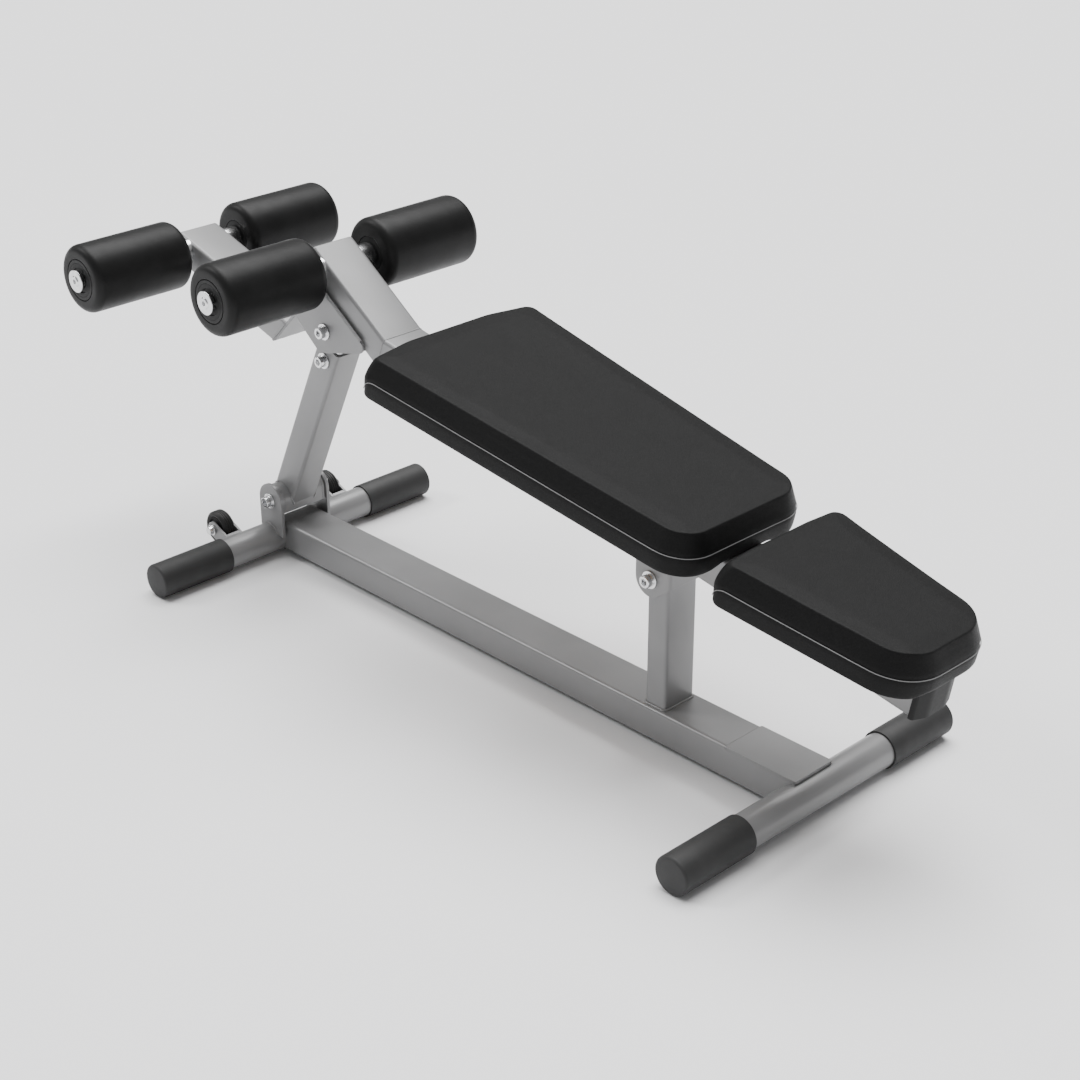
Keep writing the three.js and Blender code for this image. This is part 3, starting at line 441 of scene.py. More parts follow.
def standing_tube(outer, inner, foot, top, x=0.0):
    """An open tube along Z over two plan sections: foot gives its lower end over their x."""
    rings = []
    for section, height in ((outer, foot), (outer, lambda px: top), (inner, lambda px: top),
                            (inner, foot)):
        rings.append([(x + px, y, height(px)) for px, y in section])
    return loft(rings, loop=True)


post_outer = tube_section(POST_DEPTH, POST_WIDTH, 6)
post_inner = tube_section(POST_DEPTH - 2 * POST_WALL, POST_WIDTH - 2 * POST_WALL, 3)
post = standing_tube(post_outer, post_inner, lambda x: RAIL_TOP, POST_TOP, POST_X)
painted("front_post", post, "base", edge=0.5)
weld("weld_post_foot", [(POST_X + x * 1.03, y * 1.02, RAIL_TOP + 0.6) for x, y in post_outer], "base",
     radius=2.0, closed=True)


def make_zinc():
    """Bright zinc plate: polished steel with faint clouding and drawn-out scratches."""
    zinc = Finish("bright_zinc", Metallic=1.0)
    clouds = zinc.ramp(zinc.noise(140.0, 4.0), 0.35, 0.7)
    zinc.feed("Base Color", zinc.blend(clouds, (0.66, 0.665, 0.68, 1), (0.78, 0.78, 0.775, 1)))
    zinc.feed("Roughness", zinc.noise(300.0, 4.0) * 0.16 + 0.14)
    zinc.bump(zinc.noise(900.0, 3.0), 0.00005, 0.4)
    return zinc.material


ZINC = make_zinc()


def plated(node, shape, body, piece=None, **more):
    """A plated piece in place of a CAD node."""
    make(f"plated_{piece or node}", shape, ZINC, body, nodes=[node], slot="zinc", **more)


bush = turned(pipe_profile(11, 6.3, POST_WIDTH / 2 + 0.4), FRONT_PIVOT.x, FRONT_PIVOT.z, 48, loop=True)
plated("post_pivot_tube", bush, "base", piece="post_bush")


# --------------------------------------------------
# Rear ears. Two thick plates with round tops stand on the rear foot tube, coped to it and
# welded. The strut's foot swings between them.

EAR_RADIUS = 28.5
EAR_INNER = 44.0
EAR_OUTER = 50.0
EAR_LOW_FRONT = 38.0
EAR_LOW_REAR = 44.0
REAR_PIVOT = TO_FLOOR @ Vector(joints["strut_swing"]["pos_m"])


def upright(outline, from_y, to_y):
    """A plate from its side view, from_y to to_y."""
    return loft([[(x, y, z) for x, z in outline] for y in (from_y, to_y)])


def arc(x, z, radius, start, end, steps=24):
    """Points of a circle about (x, z), from start to end in degrees."""
    points = []
    for step in range(steps + 1):
        angle = math.radians(start + (end - start) * step / steps)
        points.append(Vector((x + radius * math.cos(angle), z + radius * math.sin(angle))))
    return points


ear_cope = arc(-FOOT_X, FOOT_HEIGHT, FOOT_RADIUS, 141, 27)
ear_outline = [Vector((REAR_PIVOT.x + EAR_RADIUS, EAR_LOW_FRONT))]
ear_outline += arc(REAR_PIVOT.x, REAR_PIVOT.z, EAR_RADIUS, 0, 180)
ear_outline += [Vector((REAR_PIVOT.x - EAR_RADIUS, EAR_LOW_REAR)), *ear_cope]
for side, sign in SIDES:
    ear = upright(ear_outline, sign * EAR_INNER, sign * EAR_OUTER)
    painted(f"rear_ear_{side}", ear, "base", edge=0.8)
    weld(f"weld_rear_ear_{side}", [(p.x, sign * (EAR_OUTER + 0.4), p.y + 0.6) for p in ear_cope],
         "base", radius=1.5)


# --------------------------------------------------
# Transport wheels. Behind the rear foot tube a small fork on each side carries a hard rubber
# wheel on a riveted pin, so that the bench rolls when its head end is lifted.

WHEEL_MIDDLE = 110.0
WHEEL_RADIUS = 28.0
WHEEL_HALF = 11.0
FORK_INNER = 12.0
FORK_OUTER = 16.0
CHEEK_RADIUS = 13.0
COPE_HALF_ANGLE = 31
WHEEL_PLACE = TO_FLOOR @ Vector(joints["wheel_right_spin"]["pos_m"])


def joined(*shapes):
    """Several closed shapes as one."""
    points = []
    faces = []
    for more_points, more_faces in shapes:
        faces += [tuple(i + len(points) for i in face) for face in more_faces]
        points += list(more_points)
    return points, faces


TYRE_RUBBER = make_rubber("tyre_rubber", 0.010, 0.42)


def make_plastic():
    """Injection-moulded black plastic with a fine spark-eroded texture."""
    plastic = Finish("black_moulding", IOR=1.46, Specular_IOR_Level=0.16)
    plastic.feed("Base Color", plastic.blend(plastic.noise(40.0, 3.0), grey(0.012), grey(0.018)))
    plastic.feed("Roughness", plastic.noise(220.0, 2.0) * 0.14 + 0.42)
    plastic.bump(plastic.noise(1900.0, 2.0), 0.00015, 0.5)
    return plastic.material


BLACK_PLASTIC = make_plastic()

fork_rise = WHEEL_PLACE.z - FOOT_HEIGHT
fork_run = -FOOT_X - WHEEL_PLACE.x
fork_turn = Matrix.Rotation(math.atan2(fork_rise, fork_run), 4, "Y")
fork_frame = FLOOR @ Matrix.Translation(WHEEL_PLACE) @ fork_turn
fork_reach = Vector((math.hypot(fork_rise, fork_run), 0))
cope = [fork_reach + spot
        for spot in arc(0, 0, FOOT_RADIUS, 180 + COPE_HALF_ANGLE, 180 - COPE_HALF_ANGLE, 10)]
cheek = [*arc(0, 0, CHEEK_RADIUS, 90, 270, 20), *cope]
web = [Vector((WHEEL_RADIUS + 1, -CHEEK_RADIUS)), *cope, Vector((WHEEL_RADIUS + 1, CHEEK_RADIUS))]
for side, sign in SIDES:
    middle = sign * WHEEL_MIDDLE
    shapes = [upright(cheek, middle + low, middle + high)
              for low, high in ((-FORK_OUTER, -FORK_INNER), (FORK_INNER, FORK_OUTER))]
    shapes.append(upright(web, middle - FORK_INNER + 0.1, middle + FORK_INNER - 0.1))
    painted(f"wheel_fork_{side}", joined(*shapes), "base", at=fork_frame, edge=0.6)

    # The pin's capped nut and washer are outside the fork; its riveted head is on the inner side.
    out = middle + sign * FORK_OUTER
    back = middle - sign * FORK_OUTER
    pin = [(1.5, out + sign * 9.3), (6.4, out + sign * 9.3, 1.2), (7.5, out + sign * 3.2, 0.6),
           (9, out + sign * 3, 0.5), (9, out + sign * 0.3), (5, out + sign * 0.3),
           (5, back - sign * 0.3), (8, back - sign * 0.3), (8, back - sign * 6, 3),
           (1.5, back - sign * 7)]
    plated(f"wheel_pin_{side}", turned(pin, WHEEL_PLACE.x, WHEEL_PLACE.z, 40), "base")

    tread = [(20.4, middle - 9.5, 1), (24, middle - WHEEL_HALF, 2), (WHEEL_RADIUS, middle - 7, 3)]
    for groove in (-4, 0, 4):
        tread += [(WHEEL_RADIUS, middle + groove - 1, 0.3), (WHEEL_RADIUS - 1.2, middle + groove, 0.4),
                  (WHEEL_RADIUS, middle + groove + 1, 0.3)]
    tread += [(WHEEL_RADIUS, middle + 7, 3), (24, middle + WHEEL_HALF, 2), (20.4, middle + 9.5, 1)]
    tyre = turned(tread, WHEEL_PLACE.x, WHEEL_PLACE.z, 80, loop=True, steps=3)
    make(f"rubber_tyre_{side}", tyre, TYRE_RUBBER, f"wheel_{side}",
         nodes=[f"transport_wheel_{side}"], slot="wheel_rubber")
    rim = mirrored([(5.3, WHEEL_HALF, 0.5), (10, WHEEL_HALF, 1), (11, 7, 1), (17, 7, 1),
                    (18, 9.8, 0.6), (20.3, 9.8, 0.5)], middle)
    hub = turned(rim, WHEEL_PLACE.x, WHEEL_PLACE.z, 64, loop=True, steps=3)
    make(f"moulded_wheel_hub_{side}", hub, BLACK_PLASTIC, f"wheel_{side}", slot="black_plastic")


# --------------------------------------------------
# Pivot bolts. Zinc-plated socket-head bolts with washers on the near side, and hexagon nuts
# with washers on the far side.

HEAD_RADIUS = 9.0
HEAD_LENGTH = 10.0
WASHER_RADIUS = 13.0
WASHER_DEPTH = 2.5
SHANK_RADIUS = 6.0
SADDLE_OUTER = 36.0


def hexagon(apothem, count=72):
    """Radii of a hexagon at equal steps round it."""
    radii = []
    for i in range(count):
        angle = (i * 360 / count + 30) % 60 - 30
        radii.append(apothem / math.cos(math.radians(angle)))
    return radii


def socket_bolt(x, z, face, tip):
    """A bolt whose washer bears on face, head towards -Y."""
    under = face - WASHER_DEPTH
    crown = under - HEAD_LENGTH
    socket = hexagon(4.4)
    layers = [(socket, crown + 5.5), (socket, crown + 0.4), ([r + 0.5 for r in socket], crown)]
    layers += round_off([
        (HEAD_RADIUS - 2, crown), (HEAD_RADIUS, crown, 1.3), (HEAD_RADIUS, under, 0.2),
        (WASHER_RADIUS, under, 0.6), (WASHER_RADIUS, face, 0.6), (SHANK_RADIUS, face)], closed=False)
    layers += [(SHANK_RADIUS, tip - 1.5), (SHANK_RADIUS - 1.2, tip)]
    return stacked(layers, x, z)


def hex_nut(x, z, face, thin):
    """A nut bearing on face, towards +Y: a thin one has no washer."""
    flats = hexagon(9.0)
    rounded_flats = [min(radius, 9.5) for radius in flats]
    bore = SHANK_RADIUS + 0.2
    if thin:
        seat = face
        top = seat + 8
        layers = [(bore, seat)]
    else:
        seat = face + WASHER_DEPTH
        top = seat + 10
        layers = round_off([(bore, face), (WASHER_RADIUS, face, 0.6), (WASHER_RADIUS, seat, 0.6),
                            (9.6, seat)], closed=False)
    layers += [(rounded_flats, seat), (flats, seat + 0.8), (flats, top - 0.8), (rounded_flats, top),
               (bore, top)]
    return stacked(layers, x, z, loop=True)


def fasten(name, body, x, z, face, past=15.5, thin=False, at=FLOOR):
    """A bolt through a joint whose outer faces are face from its middle, and the bolt's nut."""
    plated(f"{name}_bolt", socket_bolt(x, z, -face - 0.2, face + past), body, at=at)
    plated(f"{name}_nut", hex_nut(x, z, face + 0.2, thin), body, at=at)


fasten("front_pivot", "bench_beam", FRONT_PIVOT.x, FRONT_PIVOT.z, SADDLE_OUTER)
fasten("rear_pivot", "base", REAR_PIVOT.x, REAR_PIVOT.z, EAR_OUTER)


# --------------------------------------------------
# Seat beam. The long rectangular tube under the pads slopes down to the head end, where a black
# moulded plug with a bowed face closes it. Its other end is mitred to the upper beam.

back_rest = next(mount for mount in frame["record"]["mounts"] if mount["name"] == "back_rest_face")
BACK_REST_ALONG = 0.140
deck_normal = Vector(back_rest["axis"])
deck_tilt = math.atan2(deck_normal.x, deck_normal.z)
deck_along = Vector((deck_normal.z, 0, -deck_normal.x))
deck_zero = Vector(back_rest["pos_m"]) - deck_along * BACK_REST_ALONG
DECK = frame_at(deck_zero.x, deck_zero.z, deck_tilt)
TO_DECK = DECK.inverted()
PAD_THICKNESS = 56.2
DECK_END = 748.0
UPPER_TILT = math.radians(34.5)
AXLE_BELOW_TOP = 20.0
KNEE_AXLE = TO_FLOOR @ Vector(joints["knee_roller_right_spin"]["pos_m"])
UPPER = FLOOR @ Matrix.Translation(KNEE_AXLE) @ Matrix.Rotation(UPPER_TILT, 4, "Y")
deck_middle = -PAD_THICKNESS - BEAM_DEPTH / 2
upper_middle = AXLE_BELOW_TOP - BEAM_DEPTH / 2


def crossing(first, first_z, second, second_z):
    """Where the lines z = first_z and z = second_z of two frames meet, in the floor frame."""
    start = TO_FLOOR @ first @ Vector((0, 0, first_z))
    along = (TO_FLOOR @ first @ Vector((1, 0, first_z))) - start
    back = (TO_FLOOR @ second).inverted()
    level = (back @ start).z
    climb = (back @ (start + along)).z - level
    return start + along * ((second_z - level) / climb)


def plane_cut(at, point, tilt):
    """x over a tube's section where a plane crosses it: its normal leans down by tilt."""
    local = at.inverted() @ FLOOR @ point
    turned_normal = Matrix.Rotation(tilt, 3, "Y") @ Vector((1, 0, 0))
    normal = at.to_3x3().transposed() @ turned_normal
    return lambda y, z: local.x - normal.z * (z - local.z) / normal.x


mitre_point = crossing(DECK, deck_middle, UPPER, upper_middle)
mitre_tilt = (deck_tilt + UPPER_TILT) / 2
beam_section = tube_section(BEAM_WIDTH, BEAM_DEPTH, BEAM_CORNER, deck_middle)
beam_inner = tube_section(BEAM_WIDTH - 2 * BEAM_WALL, BEAM_DEPTH - 2 * BEAM_WALL, 3, deck_middle)
mitre_cut = plane_cut(DECK, mitre_point, mitre_tilt)
seat_beam = open_beam(beam_section, beam_inner, mitre_cut, square(DECK_END))
painted("seat_beam", seat_beam, "bench_beam", at=DECK)
weld("weld_mitre", [(mitre_cut(y, z), y * 0.992, (z - deck_middle) * 0.988 + deck_middle)
                    for y, z in beam_section], "bench_beam", at=DECK, radius=1.3, closed=True)

cap_half = BEAM_WIDTH / 2 + 1.3
cap_plan = round_off([(DECK_END + 0.3, -cap_half, 0.5), (DECK_END + 7, -cap_half, 5),
                      (DECK_END + 14.5, -cap_half * 0.45, 30), (DECK_END + 14.5, cap_half * 0.45, 30),
                      (DECK_END + 7, cap_half, 5), (DECK_END + 0.3, cap_half, 0.5)])
cap_face = loft([[(x, y, z) for x, y in cap_plan]
                 for z in (-PAD_THICKNESS - BEAM_DEPTH - 0.8, -PAD_THICKNESS - 0.6)])
plug_section = tube_section(BEAM_WIDTH - 12, BEAM_DEPTH - 12, 3, deck_middle)
cap_plug = loft([[(x, y, z) for y, z in plug_section] for x in (DECK_END - 21, DECK_END + 1)])
make("moulded_beam_end_cap", joined(cap_face, cap_plug), BLACK_PLASTIC, "bench_beam", at=DECK,
     nodes=["beam_end_cap"], slot="black_plastic", edge=1.5)


# --------------------------------------------------
# Upper beam and roller arm. The mitred upper beam rises to the knee rollers. The arm for the
# foot rollers is the same tube, cut at a slant and welded to a plate under the upper beam.

ARM_TILT = math.radians(16.6)
FOOT_AXLE = TO_FLOOR @ Vector(joints["foot_roller_right_spin"]["pos_m"])
ARM = FLOOR @ Matrix.Translation(FOOT_AXLE) @ Matrix.Rotation(ARM_TILT, 4, "Y")
PLATE_SLOPE = math.radians(45.8)
PLATE_FOOT = Vector((-520.5, 0, 378.8))
MOUNT_PLATE = FLOOR @ Matrix.Translation(PLATE_FOOT) @ Matrix.Rotation(-PLATE_SLOPE, 4, "Y")
PLATE = 5.0


def capped_beam(section_at, start, end, rounding):
    """A tube along X whose low end is closed and rounded over."""
    rings = []
    for step in range(7):
        angle = math.radians(15 * step)
        inset = rounding * (1 - math.sin(angle))
        x = start + rounding * (1 - math.cos(angle))
        rings.append([(x, y, z) for y, z in section_at(inset)])
    rings.append([(end(y, z), y, z) for y, z in section_at(0)])
    return loft(rings)


def beam_outline(inset):
    corner = max(BEAM_CORNER - inset, 1.0)
    return tube_section(BEAM_WIDTH - 2 * inset, BEAM_DEPTH - 2 * inset, corner, upper_middle)


upper_beam = capped_beam(beam_outline, -29.0, plane_cut(UPPER, mitre_point, mitre_tilt), 4.0)
painted("upper_beam", upper_beam, "bench_beam", at=UPPER)
plate_face = PLATE_FOOT + Vector((-math.sin(PLATE_SLOPE), 0, math.cos(PLATE_SLOPE))) * PLATE
arm_cut = plane_cut(ARM, plate_face, math.pi / 2 - PLATE_SLOPE)
painted("roller_arm", capped_beam(beam_outline, -27.0, arm_cut, 4.0), "bench_beam", at=ARM)

under_beam = crossing(MOUNT_PLATE, 0, UPPER, upper_middle - BEAM_DEPTH / 2)
plate_end = plane_cut(MOUNT_PLATE, under_beam, UPPER_TILT + math.pi / 2)
half = BEAM_WIDTH / 2 - 0.4
plate_rings = [[(x(y, z), y, z) for y, z in ((-half, 0), (half, 0), (half, PLATE), (-half, PLATE))]
               for x in (square(0), plate_end)]
painted("arm_mount_plate", loft(plate_rings), "bench_beam", piece="arm_plate", at=MOUNT_PLATE,
        edge=0.8)
weld("weld_arm", [(arm_cut(y, z), y, z) for y, z in beam_outline(0.3)], "bench_beam", at=ARM,
     radius=1.8, closed=True)


# --------------------------------------------------
# Gusset bracket. Two side plates joined by a folded web hang from the upper beam and take the
# top of the strut between them on a through bolt with a thin nut.

GUSSET_INNER = BEAM_WIDTH / 2 + 0.3
GUSSET_OUTER = GUSSET_INNER + PLATE
strut_axis = Vector(joints["strut_extend"]["axis"])
UPPER_PIVOT_AT = 369.7
UPPER_PIVOT = REAR_PIVOT + strut_axis * UPPER_PIVOT_AT

gusset_outline = round_off([(-404, 392.5, 9), (-303.5, 418.3, 12), (-297, 432, 8),
                            (-395.5, 499.5, 6), (-414.5, 488), (-461, 440.5, 2), (-441.5, 423, 4)])
web_outline = [Vector(p) for p in ((-311, 419), (-306, 420), (-306, 431), (-311, 434))]
gusset = joined(
    upright(gusset_outline, -GUSSET_OUTER, -GUSSET_INNER),
    upright(gusset_outline, GUSSET_INNER, GUSSET_OUTER),
    upright(web_outline, -GUSSET_INNER, GUSSET_INNER))
painted("gusset_bracket", gusset, "bench_beam", edge=0.8)
for side, sign in SIDES:
    seam = [(x, sign * (GUSSET_OUTER - 0.8), z) for x, z in ((-303, 439), (-345, 468), (-391, 499.5))]
    weld(f"weld_gusset_{side}", seam, "bench_beam", radius=1.9)
fasten("upper_pivot", "bench_beam", UPPER_PIVOT.x, UPPER_PIVOT.z, GUSSET_OUTER, past=13, thin=True)


# --------------------------------------------------
# Hinge saddle. A steel channel, folded from one plate and welded under the seat beam, straddles
# the front post and turns on its pivot bolt.

SADDLE_FRONT = 320.0
SADDLE_RADIUS = 27.0
SADDLE_LOW_FRONT = 252.0
SADDLE_LEAVES = 0.31
deck_drop = (PAD_THICKNESS + BEAM_DEPTH) / math.cos(deck_tilt)
deck_start = (TO_FLOOR @ deck_zero).z


def saddle_top(x):
    return deck_start - x * math.tan(deck_tilt) - deck_drop


def saddle_bottom(x):
    """Round about the pivot, then straight on to the front."""
    across = max(-1.0, (x - FRONT_PIVOT.x) / SADDLE_RADIUS)
    if across < SADDLE_LEAVES:
        return FRONT_PIVOT.z - SADDLE_RADIUS * math.sqrt(1 - across ** 2)
    low = FRONT_PIVOT.z - SADDLE_RADIUS * math.sqrt(1 - SADDLE_LEAVES ** 2)
    start = FRONT_PIVOT.x + SADDLE_RADIUS * SADDLE_LEAVES
    return low + (SADDLE_LOW_FRONT - low) * (x - start) / (SADDLE_FRONT - start)


def folded(path, thickness, bottom, top):
    """Sheet metal folded along a plan path, between two heights that change along X."""
    rings = []
    for i, spot in enumerate(path):
        before = path[max(i - 1, 0)]
        after = path[min(i + 1, len(path) - 1)]
        along = (after - before).normalized()
        side = Vector((along.y, -along.x)) * (thickness / 2)
        ring = []
        for edge, height in ((spot + side, bottom), (spot + side, top),
                             (spot - side, top), (spot - side, bottom)):
            ring.append((edge.x, edge.y, height(edge.x)))
        rings.append(ring)
    return loft(rings)


saddle_middle = SADDLE_OUTER - PLATE / 2
saddle_rear = FRONT_PIVOT.x - SADDLE_RADIUS
steps = 22
run_out = [saddle_rear + (SADDLE_FRONT - 12 - saddle_rear) * (step / steps) ** 1.6
           for step in range(steps + 1)]
bend = round_off([(run_out[-1], -saddle_middle), (SADDLE_FRONT - PLATE / 2, -saddle_middle, 5),
                  (SADDLE_FRONT - PLATE / 2, saddle_middle, 5), (run_out[-1], saddle_middle)],
                 closed=False)
saddle_path = [Vector((x, -saddle_middle)) for x in run_out[:-1]]
saddle_path += bend
saddle_path += [Vector((x, saddle_middle)) for x in reversed(run_out[:-1])]
saddle = folded(saddle_path, PLATE, saddle_bottom, saddle_top)
painted("hinge_saddle", saddle, "bench_beam", edge=0.7)
for side, sign in SIDES:
    seam = [(x, sign * (SADDLE_OUTER + 0.4), saddle_top(x) - 0.8) for x in run_out]
    weld(f"weld_saddle_{side}", seam, "bench_beam", radius=2.0)


# --------------------------------------------------
# Strut. The foot is a short folded channel that swings between the ears. The square outer tube
# is coped into it, and a plated inner tube with an eye slides in that, held by a lock bolt.

STRUT_LEAN = math.atan2(strut_axis.x, strut_axis.z)
STRUT = FLOOR @ Matrix.Translation(REAR_PIVOT) @ Matrix.Rotation(STRUT_LEAN, 4, "Y")
STRUT_SIZE = 50.0
STRUT_WALL = 2.5
STRUT_TOP = 330.0
STRUT_BARREL = 25.0
FOOT_HALF_WIDTH = 43.0
FOOT_SKIRT = 18.0
LOCK_AT = 303.5
SLIDE_SIZE = 44.0
SLIDE_WALL = 3.0
SLIDE_FOOT = 40.0
SLIDE_PAST_EYE = 22.0


def barrel(radius):
    points = arc(REAR_PIVOT.x, REAR_PIVOT.z, radius, 0, 180, 30)
    low = REAR_PIVOT.z - FOOT_SKIRT
    return [Vector((REAR_PIVOT.x + radius, low)), *points, Vector((REAR_PIVOT.x - radius, low))]


shell_outline = barrel(STRUT_BARREL) + barrel(STRUT_BARREL - PLATE)[::-1]
cheek_outline = barrel(STRUT_BARREL)
inside = FOOT_HALF_WIDTH - PLATE
strut_foot = joined(
    upright(shell_outline, -inside, inside),
    upright(cheek_outline, -FOOT_HALF_WIDTH, -inside),
    upright(cheek_outline, inside, FOOT_HALF_WIDTH),
    turned([(11, -inside), (11, inside)], REAR_PIVOT.x, REAR_PIVOT.z, 40))
painted("strut_foot", strut_foot, "strut_outer", edge=0.7)


def barrel_height(x):
    return math.sqrt(max(STRUT_BARREL ** 2 - x ** 2, 0.0))


strut_outer = tube_section(STRUT_SIZE, STRUT_SIZE, 5.5)
strut_inner = tube_section(STRUT_SIZE - 2 * STRUT_WALL, STRUT_SIZE - 2 * STRUT_WALL, 3)
strut = standing_tube(strut_outer, strut_inner, lambda x: barrel_height(x) - 0.3, STRUT_TOP)
painted("strut_tube", strut, "strut_outer", at=STRUT)
weld("weld_strut", [(x * 1.01, y * 1.01, barrel_height(x) + 0.6) for x, y in strut_outer],
     "strut_outer", at=STRUT, radius=1.7, closed=True)
fasten("lock", "strut_outer", 0, LOCK_AT, STRUT_SIZE / 2, past=12, thin=True, at=STRUT)

slide_outer = tube_section(SLIDE_SIZE, SLIDE_SIZE, 4)
slide_inner = tube_section(SLIDE_SIZE - 2 * SLIDE_WALL, SLIDE_SIZE - 2 * SLIDE_WALL, 2)
slide = standing_tube(slide_outer, slide_inner, lambda x: SLIDE_FOOT, UPPER_PIVOT_AT + SLIDE_PAST_EYE)
eye = turned(pipe_profile(11, 8.2, GUSSET_INNER - 0.6), 0, UPPER_PIVOT_AT, 48, loop=True)
plated("strut_inner_tube", joined(slide, eye), "strut_inner", piece="strut_slide", at=STRUT, edge=0.4)


# --------------------------------------------------
# Roller axles. A plated steel axle goes through the end of each beam, with a collar on each
# side, and a domed bolt with a broad flange in each end keeps the rollers on.

ROLLER_RADIUS = 54.6
ROLLER_INNER = 60.5
ROLLER_OUTER = 240.0
AXLE_TIP = 250.0
AXLE_RADIUS = 12.5
COLLAR_RADIUS = 19.0
DISC_RADIUS = 18.0
DISC_DEPTH = 3.4
ROLLERS = (("knee", KNEE_AXLE), ("foot", FOOT_AXLE))

for name, place in ROLLERS:
    collar = ROLLER_INNER - 1
    axle = mirrored([(AXLE_RADIUS, ROLLER_OUTER, 1), (AXLE_RADIUS, collar, 0),
                     (COLLAR_RADIUS, collar, 1.2)])
    plated(f"{name}_roller_axle", turned(axle, place.x, place.z, 72), "bench_beam", f"{name}_axle")
    for side, sign in SIDES:
        face = ROLLER_OUTER + 0.6
        disc = AXLE_TIP - 1.8
        under = disc - DISC_DEPTH
        bolt = [(3.4, sign * (AXLE_TIP - 3)), (3.6, sign * AXLE_TIP, 0.3), (8, sign * AXLE_TIP, 1.6),
                (9, sign * disc, 0.4), (DISC_RADIUS, sign * disc, 1.0), (DISC_RADIUS, sign * under, 0.8),
                (14, sign * under), (14, sign * face), (5, sign * face), (5, sign * (face - 26))]
        plated(f"{name}_roller_bolt_{side}", turned(bolt, place.x, place.z, 56), "bench_beam",
               f"{name}_bolt_{side}")


# --------------------------------------------------
# Rollers. Thick black foam sleeves with a smooth skin and rounded rims, pushed over plastic
# cores whose flanges show as a ring at each end.

HUB_RADIUS = 27.0
GROOVE_RADIUS = 33.0
ROLLER_EDGE = 13.0


def make_foam():
    """Skinned foam: soft black sheen, faint mottling and fine closed pores."""
    foam = Finish("roller_foam", IOR=1.45, Specular_IOR_Level=0.2)
    mottle = foam.ramp(foam.noise(20.0, 4.0), 0.35, 0.7)
    foam.feed("Base Color", foam.blend(mottle, grey(0.007), grey(0.010)))
    foam.feed("Roughness", foam.noise(45.0, 4.0) * 0.16 + 0.36)
    pores = foam.node("ShaderNodeTexVoronoi", {"feature": "F1"}, Vector=foam.place, Scale=1100.0)
    foam.bump(pores * 0.6 + foam.noise(260.0, 3.0) * 0.8, 0.0002, 0.45)
    return foam.material


ROLLER_FOAM = make_foam()

for name, place in ROLLERS:
    for side, sign in SIDES:
        body = f"{name}_roller_{side}"
        near = sign * ROLLER_INNER
        far = sign * ROLLER_OUTER
        profile = [
            (HUB_RADIUS + 0.2, far - sign * 3), (HUB_RADIUS + 0.2, far, 0.2),
            (GROOVE_RADIUS - 0.9, far, 0.4), (GROOVE_RADIUS, far - sign * 2.2, 0.3),
            (GROOVE_RADIUS + 0.9, far, 0.6), (ROLLER_RADIUS, far, ROLLER_EDGE),
            (ROLLER_RADIUS, near, ROLLER_EDGE), (HUB_RADIUS + 0.3, near, 1.2),
            (HUB_RADIUS + 0.3, near + sign * 3), (17, near + sign * 3), (17, far - sign * 3),
        ]
        sleeve = turned(profile, place.x, place.z, 112, loop=True, steps=8)
        foam = make(f"foam_{name}_roller_{side}", sleeve, ROLLER_FOAM, body,
                    nodes=[f"{name}_roller_foam_{side}"], slot="roller_foam")
        core = [
            (12.8, far - sign * 2.2, 0.4), (19.5, far - sign * 2.2, 0.5), (20.5, far - sign * 0.2, 0.5),
            (HUB_RADIUS, far - sign * 0.1, 0.2), (HUB_RADIUS, far - sign * 2.9),
            (16.8, far - sign * 2.9), (16.8, near + sign * 2.9),
            (HUB_RADIUS, near + sign * 2.9), (HUB_RADIUS, near + sign * 0.4, 0.6),
            (12.8, near + sign * 0.4, 0.5),
        ]
        make(f"moulded_{name}_core_{side}", turned(core, place.x, place.z, 72, loop=True, steps=3),
             BLACK_PLASTIC, body, nodes=[f"{name}_roller_core_{side}"], slot="black_plastic")


# --------------------------------------------------
# Pads. Firm foam on plywood boards under grained black vinyl. The top panel is bevelled at the
# sides and front and rolls over the rear edge; a light piping follows the seam to the band.

PAD_SEAM = 31.0
BOARD_DEPTH = 12.0
BOARD_INSET = 22.0
POCKET_TOP = PAD_THICKNESS - BOARD_DEPTH - 0.8
MESH_SIZE = 5.0
RIM_DROP = 5.5
CLOTH_STEPS = 20
SMOOTHING_STEPS = 40
MOST_SWELL = 1.8
GROOVE_REACH = 0.007
GROOVE_DEPTH = 0.0012
PIPING_RADIUS = 0.62
# A cover's levels, from the pocket for the board, round the stapled rim and up the slanting band
# to the seam, then up the bevel and over on to the seat: depth below the seat, inset, rear inset.
COVER_LEVELS = [
    (POCKET_TOP, BOARD_INSET - 0.4, BOARD_INSET - 0.4),
    *((PAD_THICKNESS - 0.4, inset, inset) for inset in (BOARD_INSET - 0.4, 17, 13, 10)),
    (PAD_THICKNESS - 0.5, 7.0, 7.0), (PAD_THICKNESS - 0.8, 4.2, 4.2), (PAD_THICKNESS - 2.0, 2.4, 2.4),
    (PAD_THICKNESS - 5, 1.4, 1.2), (PAD_THICKNESS - 10, 0.8, 0.5), (PAD_THICKNESS - 16, 0.5, 0.3),
    (PAD_SEAM + 4, 0.4, 0.2), (PAD_SEAM, 0.3, 0.2),
    (28.0, 1.4, 0.2), (24.0, 3.1, 0.3), (20.0, 4.7, 0.8), (16.0, 6.4, 1.6), (12.0, 8.1, 2.7),
    (8.0, 9.7, 4.2), (5.0, 11.0, 5.8), (2.6, 12.0, 7.8), (1.2, 12.7, 9.4), (0.4, 13.4, 11.2),
    (0.1, 14.4, 13.0), (0.0, 16.0, 15.2), (0.0, 19.5, 19.0),
]
